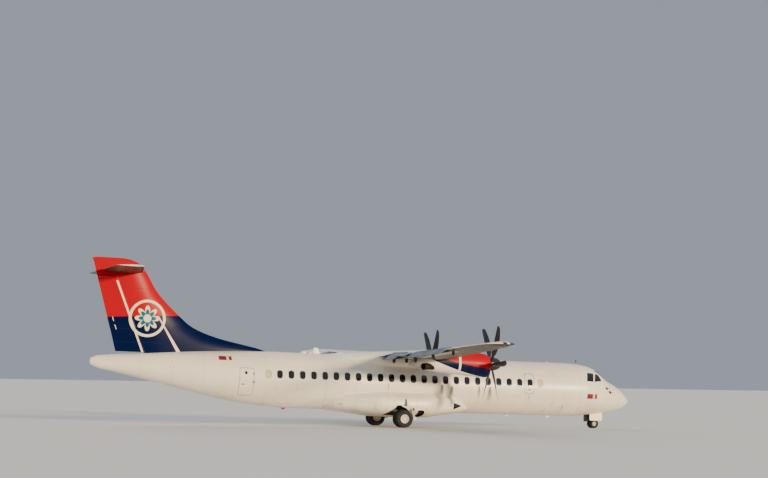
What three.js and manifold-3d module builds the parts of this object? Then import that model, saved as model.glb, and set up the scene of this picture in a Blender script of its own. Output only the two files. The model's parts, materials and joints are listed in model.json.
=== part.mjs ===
// A twin turboprop airliner with a high wing and a T-tail, parked on its landing gear.
//
// Millimetres, +X towards the nose, +Y to port, +Z up, with the origin on the ground in the
// middle of the aircraft's length. The airframe leans a little nose down on its gear, so it is
// drawn in a group of its own. Inside that group a place is given as a station, which is the
// distance aft of the nose tip, a distance y to port, and a height above the fuselage's axis.

import * as THREE from 'three';
import { mergeVertices } from 'three/addons/utils/BufferGeometryUtils.js';
import Module from 'manifold-3d';

const solids = await Module();
solids.setup();

// Driving dimensions of the whole aircraft
const NOSE_X = 13590;
const NOSE_AXIS_HEIGHT = 1839;
const LEAN = 0.017;
const SEAT = 0.3;
const CLEARANCE = 8;

// Fuselage skin: station, top, bottom, half width, height of the widest line
const SKIN = [
  [0, -440, -500, 30, -470],
  [40, -350, -590, 120, -470],
  [190, -205, -715, 285, -460],
  [450, 30, -865, 490, -430],
  [860, 300, -1000, 735, -370],
  [1370, 545, -1110, 985, -280],
  [1640, 800, -1155, 1090, -220],
  [1910, 1010, -1190, 1180, -160],
  [2150, 1115, -1215, 1245, -110],
  [2450, 1205, -1240, 1315, -60],
  [2920, 1275, -1280, 1390, -10],
  [3700, 1310, -1310, 1432, 0],
  [17600, 1310, -1310, 1432, 0],
  [18400, 1310, -1290, 1420, 10],
  [19300, 1300, -1220, 1375, 40],
  [20200, 1285, -1105, 1300, 90],
  [21100, 1255, -960, 1200, 150],
  [22200, 1210, -730, 1045, 230],
  [23600, 1125, -410, 815, 350],
  [24900, 1020, -130, 590, 440],
  [26200, 895, 150, 340, 520],
  [26800, 835, 270, 215, 550],
  [27150, 705, 425, 100, 570],
];
const RING_SIDES = 32;
const TAIL_END = 27150;
const SECTION_CUTS = { radome: 860, cockpit: 3200, front: 9000, centre: 16200, rear: 22200 };
// The tail is a hollow shell behind the cabin's rear bulkhead
const TAIL_HOLLOW = { from: 20760, to: 26000, wall: 120 };

// Doors: first station, last station, sill, head, and the side they are on
const DOOR_THICKNESS = 95;
const DOOR_POCKET_Y = 480;
const DOOR_GAP = 7;
const CARGO_DOOR = { from: 3420, to: 4695, sill: -757, head: 773, side: 1 };
const PASSENGER_DOOR = { from: 19760, to: 20580, sill: -786, head: 960, side: 1 };
const SERVICE_DOOR = { from: 19750, to: 20400, sill: -760, head: 480, side: -1 };
// Steps on the inside of the passenger door, level when it is down
const STEPS = { count: 5, first: 260, pitch: 300, width: 560, depth: 230, thickness: 30, root: 45 };
const STEP_LEAN = Math.PI / 4;

// Wing: station and height of the leading edge, chord, thickness over chord
const WING_JOINT = 4600;
const WING_INCIDENCE = 0.035;
const WING_ROOT = { y: WING_JOINT, le: 11050, height: 1360, chord: 2570, thickness: 0.18 };
const WING_TIP = { y: 13200, le: 11720, height: 1720, chord: 1600, thickness: 0.13 };
const WING_ENDS = [
  { y: 13420, le: 11835, height: 1728, chord: 1430, thickness: 0.11 },
  { y: 13525, le: 12060, height: 1731, chord: 1090, thickness: 0.07 },
];

// Flaps: where each starts and ends along the span, and how they hang from their hinges
const FLAP_DEFLECTION = 0.26;
const FLAP_HINGE_CHORD = 0.77;
const FLAP_DROP = 0.11;
const FLAP_RADIUS = 0.18;
const FLAPS = { inner: [1720, 3400], outer: [4730, 9300] };
const AILERON = { from: 9470, to: 12850, chord: 0.74, drop: -0.011, radius: 0.056 };

// Tailplane: leading edge station, height and chord at the root and at the tip
const TAILPLANE_ROOT = { y: 0, le: 24850, height: 4790, chord: 1950, thickness: 0.13 };
const TAILPLANE_TIP = { y: 3540, le: 25530, height: 4790, chord: 1270, thickness: 0.1 };
const TAILPLANE_END = { y: 3655, le: 25700, height: 4790, chord: 1010, thickness: 0.06 };
const ELEVATOR = { from: 300, to: 3400, chord: 0.66, radius: 0.05 };

// Fin with its dorsal fin: height, front edge, thickest station, trailing edge, thickness
const FIN = [
  [880, 18500, 23800, 25960, 470],
  [1330, 18940, 24000, 26090, 455],
  [1570, 19940, 24110, 26155, 440],
  [1770, 20930, 24210, 26210, 430],
  [2060, 21910, 24360, 26295, 415],
  [2350, 22540, 24500, 26380, 400],
  [2890, 23200, 24740, 26535, 370],
  [3500, 23850, 25010, 26710, 335],
  [3950, 24240, 25210, 26840, 300],
  [4480, 24560, 25450, 26995, 265],
];
const FIN_FOOT_EDGE = { low: [1000, 22640], high: [4600, 24760] };
const FIN_CAP = [
  [4481, 24560, 25450, 26995, 262],
  [4800, 24760, 25600, 27085, 245],
  [5130, 25060, 25780, 27180, 205],
  [5290, 25440, 25950, 27267, 130],
  [5360, 25900, 26200, 27100, 40],
];
const RUDDER = { low: [1060, 24756], high: [4440, 26105], radiusLow: 205, radiusHigh: 112 };

// Engines: distance from the centreline, height of the shaft, prop disc
const ENGINE_Y = 4050;
const SHAFT_HEIGHT = 1050;
const PROP_STATION = 9060;
const PROP_RADIUS = 1965;
const HUB_RADIUS = 305;
const HUB_LENGTH = 210;
const SHAFT_RADIUS = 60;
const SHAFT_SIDES = 28;
// How far the propeller's shaft goes into the engine
const SHAFT_REACH = 200;
const BLADES = 6;
const ENGINE_BLOCK = { from: 9290, length: 1740, width: 660, height: 800, drop: 25 };
const SPINNER_TIP = 8550;
// Nacelle: station, top, bottom, half width, widest height, the heights from the shaft
const NACELLE = [
  [9195, 345, -570, 345, -60],
  [9260, 390, -615, 390, -60],
  [9420, 450, -640, 430, -50],
  [9980, 515, -615, 470, -40],
  [10800, 560, -545, 478, -30],
  [11920, 520, -455, 450, -20],
  [12600, 250, -320, 320, -30],
  [12950, 60, -255, 200, -90],
  [13150, -90, -215, 60, -150],
];

// Exhaust: the pipe's axis from its root to past its mouth, outer and inner radius
const EXHAUST_AXIS = [[11800, 4160, 860], [12640, 4490, 800]];
const EXHAUST_RADIUS = 135;
const EXHAUST_BORE = 120;

// Landing gear
const MAIN_STATION = 12650;
const MAIN_TYRE = { radius: 415, width: 254, spacing: 420 };
const TRACK = 4100;
const NOSE_STATION = 1882;
const NOSE_TYRE = { radius: 222, width: 180, spacing: 290 };
const MAIN_RIM = 205;
const NOSE_RIM = 105;
const AXLE_RADIUS = 42;
const NOSE_AXLE_RADIUS = 24;
const WHEEL_SIDES = 22;
// The wheels are turned so that a flat side of each tyre lies level on the ground
const WHEEL_TURN = Math.PI / WHEEL_SIDES - LEAN;
const AXLE_SIDES = 24;
const WHEEL_WELL = [[13740, -1700], [12960, -1120], [12880, -1010], [11960, -1010], [11880, -1700]];
const WELL_ROOF = -1010;
const NOSE_BAY = { from: 1480, to: 2480, half: 320, roof: -760 };
// Gear fairing under the fuselage: station, half width, centre height, half height
const GEAR_FAIRING = [
  [8950, 900, -900, 340],
  [9550, 1290, -900, 450],
  [10480, 1640, -920, 565],
  [11240, 1850, -945, 640],
  [12650, 1930, -950, 645],
  [13710, 1900, -950, 625],
  [14360, 1780, -945, 550],
  [15000, 1560, -935, 490],
  [15680, 1240, -925, 440],
  [16150, 850, -920, 340],
];

const FINISHES = {
  white_paint: [0xf1efe9, 0.35, 0.0],
  red_paint: [0xc4342b, 0.35, 0.0],
  navy_paint: [0x26365f, 0.35, 0.0],
  metal: [0xb9bcc0, 0.35, 0.9],
  dark_metal: [0x54565a, 0.5, 0.8],
  blade_black: [0x26282b, 0.55, 0.0],
  tyre: [0x1c1c1d, 0.85, 0.0],
  glass: [0x1b2430, 0.1, 0.0],
};

const aircraft = new THREE.Group();
const airframe = new THREE.Group();
airframe.position.set(NOSE_X, 0, NOSE_AXIS_HEIGHT);
airframe.rotation.y = LEAN;
aircraft.add(airframe);

// Small helpers for places, closed meshes and cuts

const at = (station, y, height) => new THREE.Vector3(-station, y, height);

const heightAboveGround = (station, ground) =>
  (ground - NOSE_AXIS_HEIGHT - Math.sin(LEAN) * station) / Math.cos(LEAN);

// Reads one column of a table between its rows, with smooth slopes that never overshoot.
function readTable(table, place, column) {
  const last = table.length - 1;
  const x = (i) => table[i][0];
  const y = (i) => table[i][column];
  const slope = (i) => (y(i + 1) - y(i)) / (x(i + 1) - x(i));
  const tangent = (i) => {
    if (i === 0) return slope(0);
    if (i === last) return slope(last - 1);
    const before = slope(i - 1);
    const after = slope(i);
    return before * after <= 0 ? 0 : (2 * before * after) / (before + after);
  };
  if (place <= x(0)) return y(0);
  if (place >= x(last)) return y(last);
  let i = 0;
  while (place > x(i + 1)) i += 1;
  const width = x(i + 1) - x(i);
  const t = (place - x(i)) / width;
  const heights = (2 * t ** 3 - 3 * t ** 2 + 1) * y(i) + (3 * t ** 2 - 2 * t ** 3) * y(i + 1);
  const slopes = (t ** 3 - 2 * t ** 2 + t) * tangent(i) + (t ** 3 - t ** 2) * tangent(i + 1);
  return heights + slopes * width;
}

function closedMesh(points, triangles) {
  const geometry = new THREE.BufferGeometry().setFromPoints(points);
  geometry.setIndex(triangles);
  return signedVolume(geometry) < 0 ? turnedInsideOut(geometry) : geometry;
}

function signedVolume(geometry) {
  const position = geometry.getAttribute('position');
  const index = geometry.getIndex();
  const corner = [new THREE.Vector3(), new THREE.Vector3(), new THREE.Vector3()];
  let volume = 0;
  for (let i = 0; i < index.count; i += 3) {
    corner.forEach((point, j) => point.fromBufferAttribute(position, index.getX(i + j)));
    volume += corner[0].dot(corner[1].clone().cross(corner[2])) / 6;
  }
  return volume;
}

function turnedInsideOut(geometry) {
  const index = geometry.getIndex().array;
  for (let i = 0; i < index.length; i += 3) [index[i], index[i + 1]] = [index[i + 1], index[i]];
  return geometry;
}

// Joins rings of equal point counts into a skin, with strip caps on the first and last ring.
function loft(rings) {
  const sides = rings[0].length;
  const triangles = [];
  const face = (a, b, c, d) => triangles.push(a, b, c, a, c, d);
  for (let r = 0; r + 1 < rings.length; r += 1) {
    for (let i = 0; i < sides; i += 1) {
      const j = (i + 1) % sides;
      face(r * sides + i, (r + 1) * sides + i, (r + 1) * sides + j, r * sides + j);
    }
  }
  const cap = (start, flip) => {
    for (let i = 0; i + 1 < sides / 2; i += 1) {
      const corners = [i, i + 1, sides - 2 - i, sides - 1 - i].map((k) => start + k);
      face(...(flip ? corners.reverse() : corners));
    }
  };
  cap(0, false);
  cap((rings.length - 1) * sides, true);
  return closedMesh(rings.flat(), triangles);
}

function merged(geometry) {
  const bare = geometry.clone();
  bare.deleteAttribute('normal');
  bare.deleteAttribute('uv');
  return mergeVertices(bare, 1e-3);
}

function toSolid(geometry) {
  const closed = merged(geometry);
  return new solids.Manifold(new solids.Mesh({
    numProp: 3,
    vertProperties: new Float32Array(closed.getAttribute('position').array),
    triVerts: new Uint32Array(closed.getIndex().array),
  }));
}

function toGeometry(solid) {
  const mesh = solid.getMesh();
  const points = [];
  for (let i = 0; i < mesh.vertProperties.length; i += mesh.numProp) {
    points.push(...mesh.vertProperties.slice(i, i + 3));
  }
  const geometry = new THREE.BufferGeometry();
  geometry.setAttribute('position', new THREE.Float32BufferAttribute(points, 3));
  geometry.setIndex([...mesh.triVerts]);
  return geometry;
}

const cut = (body, ...tools) =>
  toGeometry(tools.reduce((rest, tool) => rest.subtract(toSolid(tool)), toSolid(body)));
const join = (...bodies) =>
  toGeometry(bodies.slice(1).reduce((sum, body) => sum.add(toSolid(body)), toSolid(bodies[0])));
const common = (body, tool) => toGeometry(toSolid(body).intersect(toSolid(tool)));

// Drops the slivers that a cut can leave beside the body itself.
function withoutSlivers(geometry) {
  const bodies = toSolid(geometry).decompose();
  return toGeometry(bodies.reduce((largest, body) => (body.volume() > largest.volume() ? body : largest)));
}

// A box between two stations, two values of y and two heights
function block(fromStation, toStation, fromY, toY, low, high) {
  const box = new THREE.BoxGeometry(toStation - fromStation, toY - fromY, high - low);
  return box.translate(-(fromStation + toStation) / 2, (fromY + toY) / 2, (low + high) / 2);
}

// A round bar, or a cone, from one point to another
function bar(from, to, radius, endRadius = radius, sides = 12) {
  const way = to.clone().sub(from);
  const shape = new THREE.CylinderGeometry(endRadius, radius, way.length(), sides);
  const turn = new THREE.Quaternion().setFromUnitVectors(new THREE.Vector3(0, 1, 0), way.normalize());
  return shape.applyQuaternion(turn).translate(...from.clone().add(to).multiplyScalar(0.5).toArray());
}

// A round hole that a bar of the same radius turns in, whatever way its flats face
function bore(from, to, radius, sides = 12) {
  return bar(from, to, (radius + SEAT) / Math.cos(Math.PI / sides), undefined, sides);
}

function mirrored(geometry) {
  return turnedInsideOut(merged(geometry).scale(1, -1, 1));
}

const MIRROR = new THREE.Matrix4().makeScale(1, -1, 1);
const mirroredFrame = (frame) => MIRROR.clone().multiply(frame).multiply(MIRROR);

const finishes = new Map();
function finish(name) {
  if (!finishes.has(name)) {
    const [color, roughness, metalness] = FINISHES[name];
    finishes.set(name, new THREE.MeshStandardMaterial({ name, color, roughness, metalness }));
  }
  return finishes.get(name).clone();
}

// Adds one named piece. Its geometry is drawn in the frame that is given with it.
function addPiece(name, geometry, look, frame = new THREE.Matrix4()) {
  const mesh = new THREE.Mesh(geometry, finish(look));
  mesh.name = name;
  frame.decompose(mesh.position, mesh.quaternion, mesh.scale);
  airframe.add(mesh);
}

function addPair(name, geometry, look, frame = new THREE.Matrix4()) {
  addPiece(`${name}_left`, geometry, look, frame);
  addPiece(`${name}_right`, mirrored(geometry), look, mirroredFrame(frame));
}

const inFrame = (geometry, frame) => geometry.clone().applyMatrix4(frame.clone().invert());

// Fuselage

function skinRing(station, grow = 0) {
  const [top, bottom, half, wide] = [1, 2, 3, 4].map((column) => readTable(SKIN, station, column));
  return Array.from({ length: RING_SIDES }, (_, i) => {
    const angle = ((i + 0.5) / RING_SIDES) * 2 * Math.PI;
    const rise = Math.cos(angle) > 0 ? top - wide + grow : wide - bottom + grow;
    return at(station, Math.sin(angle) * (half + grow), wide + Math.cos(angle) * rise);
  });
}

function skinBetween(from, to, grow = 0) {
  const rows = SKIN.map((row) => row[0]).filter((station) => station > from + 1 && station < to - 1);
  return loft([from, ...rows, to].map((station) => skinRing(station, grow)));
}

// The box of a door seen from the side, from a depth inside the skin to well outside it
function doorBlock(door, depthY, margin) {
  const far = 1700;
  const [near, out] = door.side > 0 ? [depthY, far] : [-far, -depthY];
  return block(door.from - margin, door.to + margin, near, out, door.sill - margin, door.head + margin);
}

function sideY(station, height) {
  const [top, bottom, half, wide] = [1, 2, 3, 4].map((column) => readTable(SKIN, station, column));
  const rise = height > wide ? top - wide : wide - bottom;
  return half * Math.sqrt(Math.max(0, 1 - ((height - wide) / rise) ** 2));
}

// The frame of a hinge: x along its axis, y towards the panel, z outboard
function hingeFrame(origin, towardsPanel, outboard) {
  const axis = towardsPanel.clone().cross(outboard);
  return new THREE.Matrix4().makeBasis(axis, towardsPanel, outboard).setPosition(origin);
}

const FORWARD = new THREE.Vector3(1, 0, 0);
const AFT = new THREE.Vector3(-1, 0, 0);
const UP = new THREE.Vector3(0, 0, 1);
const DOWN = new THREE.Vector3(0, 0, -1);
const PORT = new THREE.Vector3(0, 1, 0);
const STARBOARD = new THREE.Vector3(0, -1, 0);
const HINGE_STANDOFF = 24;
const HINGE_PIN = 9;
const HINGE_BOSS = 16;
const HINGE_WEB = 200;
const HINGE_SIDES = 8;
const PIN_REACH = 46;
const ARM = { width: 40, from: 2, to: 42 };
const LUG = { width: 20, from: -60, to: -8, offset: 35 };
const SWING_CHECKS = [3, 8, 15, 25].map((degrees) => (degrees * Math.PI) / 180);
const DOOR_TOOL_Y = 300;

// A lug at one place along the hinge: a boss round the axis and a web into what carries it
function hingeLug(along, { width, from, to }) {
  const ends = [along - width / 2, along + width / 2].map((x) => new THREE.Vector3(x, 0, 0));
  const boss = bar(...ends, HINGE_BOSS, HINGE_BOSS, HINGE_SIDES);
  const web = new THREE.BoxGeometry(width, to - from, HINGE_WEB)
    .translate(along, (from + to) / 2, -HINGE_WEB / 2);
  return join(boss, web);
}

// Gives the door its hinge arms and pins, and the body its lugs with bores. What the edge of the
// doorway would touch as the door begins to swing comes off the door.
function hangDoor(door, section, frame, places) {
  const body = cut(section, doorBlock(door, DOOR_POCKET_Y, DOOR_GAP));
  const nearBody = inFrame(cut(section, doorBlock(door, DOOR_TOOL_Y, 1)), frame);
  const inside = skinBetween(door.from - 200, door.to + 200, -DOOR_THICKNESS);
  const slab = inFrame(cut(common(section, doorBlock(door, DOOR_TOOL_Y, 0)), inside), frame);
  const panel = SWING_CHECKS.reduce((rest, angle) => {
    const back = new THREE.Matrix4().makeRotationX(-angle);
    return cut(rest, nearBody.clone().applyMatrix4(back));
  }, slab);
  const pinEnds = (place) =>
    [place - PIN_REACH, place + PIN_REACH].map((x) => new THREE.Vector3(x, 0, 0));
  const arms = places.map((place) => hingeLug(place, ARM));
  const pins = places.map((place) => bar(...pinEnds(place), HINGE_PIN, HINGE_PIN, HINGE_SIDES));
  const lugs = places.flatMap((place) => [-1, 1].map((side) => hingeLug(place + side * LUG.offset, LUG)));
  const bores = places.map((place) => bore(...pinEnds(place), HINGE_PIN, HINGE_SIDES));
  const carried = join(inFrame(body, frame), ...lugs);
  return {
    leaf: join(withoutSlivers(panel), ...arms, ...pins),
    body: cut(carried, ...bores).applyMatrix4(frame),
  };
}

// The passenger door's steps, in the frame of its hinge: they stand off its inner face.
function doorSteps(middle, hinge) {
  const hingeY = new THREE.Vector3().setFromMatrixPosition(hinge).y;
  return Array.from({ length: STEPS.count }, (_, i) => {
    const up = STEPS.first + i * STEPS.pitch;
    const innerFace = sideY(middle, PASSENGER_DOOR.sill + up) - DOOR_THICKNESS - hingeY;
    return new THREE.BoxGeometry(STEPS.width, STEPS.depth + STEPS.root, STEPS.thickness)
      .translate(0, (STEPS.depth - STEPS.root) / 2, 0)
      .rotateX(-STEP_LEAN)
      .translate(0, up, innerFace);
  });
}

function buildFuselage() {
  const places = [0, ...Object.values(SECTION_CUTS), TAIL_END];
  const sections = places.slice(1).map((to, i) => skinBetween(places[i] + SEAT / 2, to - SEAT / 2));
  const hollow = skinBetween(TAIL_HOLLOW.from, TAIL_HOLLOW.to, -TAIL_HOLLOW.wall);
  const [radome, cockpitShell, frontShell, centreShell, rearWhole, coneWhole] = sections;
  const [rearShell, tailCone] = [cut(rearWhole, hollow), cut(coneWhole, hollow)];
  addPiece('radome', radome, 'white_paint');

  const cargoMiddle = (CARGO_DOOR.from + CARGO_DOOR.to) / 2;
  const cargoY = sideY(cargoMiddle, CARGO_DOOR.head) + HINGE_STANDOFF;
  const cargoHinge = hingeFrame(at(cargoMiddle, cargoY, CARGO_DOOR.head), DOWN, PORT);
  const cargo = hangDoor(CARGO_DOOR, frontShell, cargoHinge, [-400, 400]);
  addPiece('cargo_door', cargo.leaf, 'white_paint', cargoHinge);
  addPiece('fuselage_front', cargo.body, 'white_paint');

  const entryMiddle = (PASSENGER_DOOR.from + PASSENGER_DOOR.to) / 2;
  const entryY = sideY(PASSENGER_DOOR.from, PASSENGER_DOOR.sill) + HINGE_STANDOFF;
  const entryHinge = hingeFrame(at(entryMiddle, entryY, PASSENGER_DOOR.sill), UP, PORT);
  const entry = hangDoor(PASSENGER_DOOR, rearShell, entryHinge, [-250, 250]);
  const entryLeaf = join(entry.leaf, ...doorSteps(entryMiddle, entryHinge));
  addPiece('passenger_door', entryLeaf, 'white_paint', entryHinge);

  const serviceHeight = (SERVICE_DOOR.sill + SERVICE_DOOR.head) / 2;
  const serviceY = -readTable(SKIN, SERVICE_DOOR.from, 3) - HINGE_STANDOFF;
  const serviceHinge = hingeFrame(at(SERVICE_DOOR.from, serviceY, serviceHeight), AFT, STARBOARD);
  const service = hangDoor(SERVICE_DOOR, entry.body, serviceHinge, [0, 380]);
  addPiece('service_door', service.leaf, 'white_paint', serviceHinge);
  addPiece('fuselage_rear', service.body, 'white_paint');
  return { cockpitShell, centreShell, tailCone };
}

// Aerofoils

const AEROFOIL_STEPS = 8;
const WING_CAMBER = 0.02;
// Half the thickness that every aerofoil has at its trailing edge, as a share of the chord
const HALF_EDGE = 0.0012;

function halfThickness(x) {
  return 5 * (0.2969 * Math.sqrt(x) - 0.126 * x - 0.3516 * x ** 2 + 0.2843 * x ** 3 - 0.1036 * x ** 4);
}

const camberAt = (x, camber) =>
  (x < 0.4 ? (camber / 0.16) * (0.8 * x - x * x) : (camber / 0.36) * (0.2 + 0.8 * x - x * x));

// Chord position and height of each point, from the upper trailing edge round the nose
function aerofoil(thickness, camber) {
  const places = Array.from({ length: AEROFOIL_STEPS }, (_, i) =>
    (1 + Math.cos((i / AEROFOIL_STEPS) * Math.PI)) / 2);
  const side = (sign) => places.map((x) =>
    [x, camberAt(x, camber) + sign * (thickness * halfThickness(x) + HALF_EDGE)]);
  return [...side(1), ...side(-1).reverse()];
}

function wingRing(row, camber, incidence, grow = 0) {
  return aerofoil(row.thickness, camber).map(([x, z]) => {
    const along = x * row.chord + grow * (2 * x - 1);
    const above = z * row.chord + grow * Math.sign(z - camberAt(x, camber));
    return at(row.le + along * Math.cos(incidence) + above * Math.sin(incidence), row.y,
      row.height - along * Math.sin(incidence) + above * Math.cos(incidence));
  });
}

const between = (a, b, y) => {
  const share = (y - a.y) / (b.y - a.y);
  const mix = (key) => a[key] + (b[key] - a[key]) * share;
  return { y, le: mix('le'), height: mix('height'), chord: mix('chord'), thickness: mix('thickness') };
};

const wingRow = (y) => (y <= WING_JOINT ? { ...WING_ROOT, y } : between(WING_ROOT, WING_TIP, y));

const wingPiece = (rows, grow = 0) =>
  loft(rows.map((row) => wingRing(row, WING_CAMBER, WING_INCIDENCE, grow)));

// A point under or in the wing at a share of the chord, below the chord line by another share
function underWing(y, share, drop) {
  const row = wingRow(y);
  const along = share * row.chord;
  return at(row.le + along, y, row.height - along * Math.sin(WING_INCIDENCE) - drop * row.chord);
}

// The frame of a control surface's hinge: x forward, y from one end of the hinge to the other
function surfaceFrame(from, to) {
  const y = to.clone().sub(from).normalize();
  const z = FORWARD.clone().cross(y).normalize();
  return new THREE.Matrix4().makeBasis(y.clone().cross(z), y, z).setPosition(from);
}

const REACH = 1600;

// Everything within a radius of the hinge, and everything behind it, between two ends
function surfaceTool(length, [radiusFrom, radiusTo], gap) {
  const slope = (radiusTo - radiusFrom) / length;
  const ends = [-gap, length + gap];
  const radii = ends.map((end) => radiusFrom + slope * end + gap);
  const round = bar(...ends.map((end) => new THREE.Vector3(0, end, 0)), ...radii, 40);
  const behind = new THREE.BoxGeometry(REACH, length + 2 * gap, 2 * REACH);
  return join(round, behind.translate(-REACH / 2, length / 2, 0));
}

const SURFACE_PIN = { radius: 14, reach: 36, room: 40 };

// Splits a body at a hinge: the moving surface with its end pins, and the rest with their bores
function splitAtHinge(body, from, to, radii) {
  const frame = surfaceFrame(from, to);
  const length = to.distanceTo(from);
  const local = inFrame(body, frame);
  const ends = (beyond) => [new THREE.Vector3(0, -beyond, 0), new THREE.Vector3(0, length + beyond, 0)];
  const pin = bar(...ends(SURFACE_PIN.reach), SURFACE_PIN.radius);
  const room = bore(...ends(SURFACE_PIN.room), SURFACE_PIN.radius);
  const moving = join(common(local, surfaceTool(length, radii, 0)), pin);
  const fixed = cut(local, surfaceTool(length, radii, CLEARANCE), room);
  return { frame, moving, fixed: fixed.applyMatrix4(frame) };
}

const FLAP_PIN = { radius: 18, reach: 70, room: 75 };
const FLAP_RIB = 26;
// A flap's end rib and the bracket beside it, seen from the side: x forward and z up from the hinge
const RIB_OUTLINE = [[-0.62, 0.72], [0.34, 0.82], [0.1, -0.1], [-0.1, -0.1]];
const BRACKET_WIDTH = 80;
const BRACKET_TOP = 0.62;
const BRACKET_OUTLINE = [[-0.09, -0.1], [0.1, -0.16], [0.7, -0.08], [1.5, 0.42], [1.5, BRACKET_TOP],
  [-0.3, BRACKET_TOP], [-0.3, 0.1]];
const BRACKET_OVERLAP = 1.02;
const scaled = (outline, size) => outline.map(([x, z]) => [x * size, z * size]);

function plate(outline, from, to) {
  const shape = new THREE.Shape(outline.map(([x, z]) => new THREE.Vector2(x, z)));
  const flat = new THREE.ExtrudeGeometry(shape, { depth: to - from, bevelEnabled: false });
  return flat.rotateX(Math.PI / 2).translate(0, to, 0);
}

// Adds the flap pair of one part of the wing, and gives back that part with the flap's room.
function addFlap(name, wing, places) {
  const ends = places.map((y) => underWing(y, FLAP_HINGE_CHORD, FLAP_DROP));
  const radii = places.map((y) => FLAP_RADIUS * wingRow(y).chord);
  const frame = surfaceFrame(...ends);
  const length = ends[0].distanceTo(ends[1]);
  const local = inFrame(wing, frame);
  const tool = surfaceTool(length, radii, 0);
  const fixed = cut(local, surfaceTool(length, radii, CLEARANCE));
  const pinEnds = (beyond) => [[-beyond, FLAP_RIB], [length - FLAP_RIB, length + beyond]]
    .map((pair) => pair.map((y) => new THREE.Vector3(0, y, 0)));
  const ribs = [[0, FLAP_RIB], [length - FLAP_RIB, length]].map((slab, end) =>
    common(plate(scaled(RIB_OUTLINE, radii[end]), ...slab), tool));
  const pins = pinEnds(FLAP_PIN.reach).map((pair) => bar(...pair, FLAP_PIN.radius));
  const brackets = [-CLEARANCE - BRACKET_WIDTH, length + CLEARANCE].map((from, end) => {
    const drop = FLAP_DROP * wingRow(places[end]).chord;
    const outline = scaled(BRACKET_OUTLINE, (drop / BRACKET_TOP) * BRACKET_OVERLAP);
    return plate(outline, from, from + BRACKET_WIDTH);
  });
  const bores = pinEnds(FLAP_PIN.room).map((pair) => bore(...pair, FLAP_PIN.radius));
  const lowered = frame.clone().multiply(new THREE.Matrix4().makeRotationY(-FLAP_DEFLECTION));
  addPair(name, join(common(local, tool), ...ribs, ...pins), 'white_paint', lowered);
  return cut(join(fixed, ...brackets), ...bores).applyMatrix4(frame);
}

function buildWing() {
  const half = addFlap('flap_inner', wingPiece([wingRow(0), wingRow(WING_JOINT - SEAT)]), FLAPS.inner);
  addPiece('wing_centre', join(half, mirrored(half)), 'white_paint');

  const outer = wingPiece([wingRow(WING_JOINT), WING_TIP, ...WING_ENDS]);
  const flapped = addFlap('flap_outer', outer, FLAPS.outer);
  const hinge = [AILERON.from, AILERON.to].map((y) => underWing(y, AILERON.chord, AILERON.drop));
  const radii = [AILERON.from, AILERON.to].map((y) => AILERON.radius * wingRow(y).chord);
  const aileron = splitAtHinge(flapped, ...hinge, radii);
  addPair('aileron', aileron.moving, 'white_paint', aileron.frame);
  addPair('wing', aileron.fixed, 'white_paint');
}

// The bulge over the wing's middle: station, half width, top
const WING_FAIRING = [
  [9700, 300, 1335],
  [10300, 760, 1430],
  [11000, 1180, 1520],
  [11900, 1330, 1585],
  [12900, 1330, 1550],
  [13900, 1150, 1480],
  [15000, 760, 1385],
  [15700, 300, 1330],
];
const WING_FAIRING_FOOT = 620;
const FAIRING_SIDES = 24;

// A ring that is rounder than a box and fuller than an ellipse, the more so the lower the bend
function fairingRing(station, half, middle, rise, bend) {
  const bent = (value) => Math.sign(value) * Math.abs(value) ** bend;
  return Array.from({ length: FAIRING_SIDES }, (_, i) => {
    const angle = ((i + 0.5) / FAIRING_SIDES) * 2 * Math.PI;
    return at(station, bent(Math.sin(angle)) * half, middle + bent(Math.cos(angle)) * rise);
  });
}

function buildWingFairing(centreShell) {
  const rings = WING_FAIRING.map(([station, half, top]) => {
    const rise = (top - WING_FAIRING_FOOT) / 2;
    return fairingRing(station, half, WING_FAIRING_FOOT + rise, rise, 0.75);
  });
  const wing = wingPiece([wingRow(-WING_JOINT), wingRow(WING_JOINT)], SEAT);
  const skin = skinBetween(9500, 15900, SEAT);
  addPiece('wing_fairing', cut(loft(rings), wing, skin), 'white_paint');
  return cut(centreShell, wing);
}

// Fin, rudder and tailplane

const FIN_STEPS = 4;

function finRing([height, front, thickest, back, thickness], grow = 0) {
  const nose = Array.from({ length: FIN_STEPS }, (_, i) => {
    const share = 1 - Math.cos(((i + 0.5) / FIN_STEPS) * (Math.PI / 2));
    return [front + (thickest - front) * share, (1 - (1 - share) ** 2) ** 0.75];
  });
  const tail = Array.from({ length: FIN_STEPS }, (_, i) => {
    const share = i / (FIN_STEPS - 1);
    return [thickest + (back - thickest) * share, 1 - 0.97 * share ** 1.7];
  });
  const side = [...nose, ...tail].map(([station, width]) => [station, (width * thickness) / 2 + grow]);
  return [...side.map(([station, y]) => at(station, y, height)),
    ...side.reverse().map(([station, y]) => at(station, -y, height))];
}

// Everything ahead of the slanting plane between the dorsal fin and the fin, moved aft by a gap
function aheadOfFin(gap) {
  const { low, high } = FIN_FOOT_EDGE;
  const slant = Math.atan2(high[1] - low[1], high[0] - low[0]);
  const size = 9000;
  const ahead = new THREE.BoxGeometry(size, 2000, size).translate(size / 2, 0, 0);
  return ahead.rotateY(-slant).translate(-low[1] - gap, 0, low[0]);
}

function buildFin() {
  const skin = skinBetween(18000, TAIL_END, SEAT);
  const whole = cut(loft(FIN.map((row) => finRing(row))), skin);
  addPiece('dorsal_fin', common(whole, aheadOfFin(0)), 'navy_paint');
  return cut(whole, aheadOfFin(SEAT));
}

const RUDDER_PIN = 22;
const RUDDER_PIN_LOW = 240;
const RUDDER_PIN_HIGH = 110;
const RUDDER_PIN_ROOM = 10;

// The rudder's hinge frame: y up the hinge, x forward
function rudderFrame(from, to) {
  const y = to.clone().sub(from).normalize();
  const x = FORWARD.clone().addScaledVector(y, -FORWARD.dot(y)).normalize();
  return new THREE.Matrix4().makeBasis(x, y, x.clone().cross(y)).setPosition(from);
}

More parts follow.
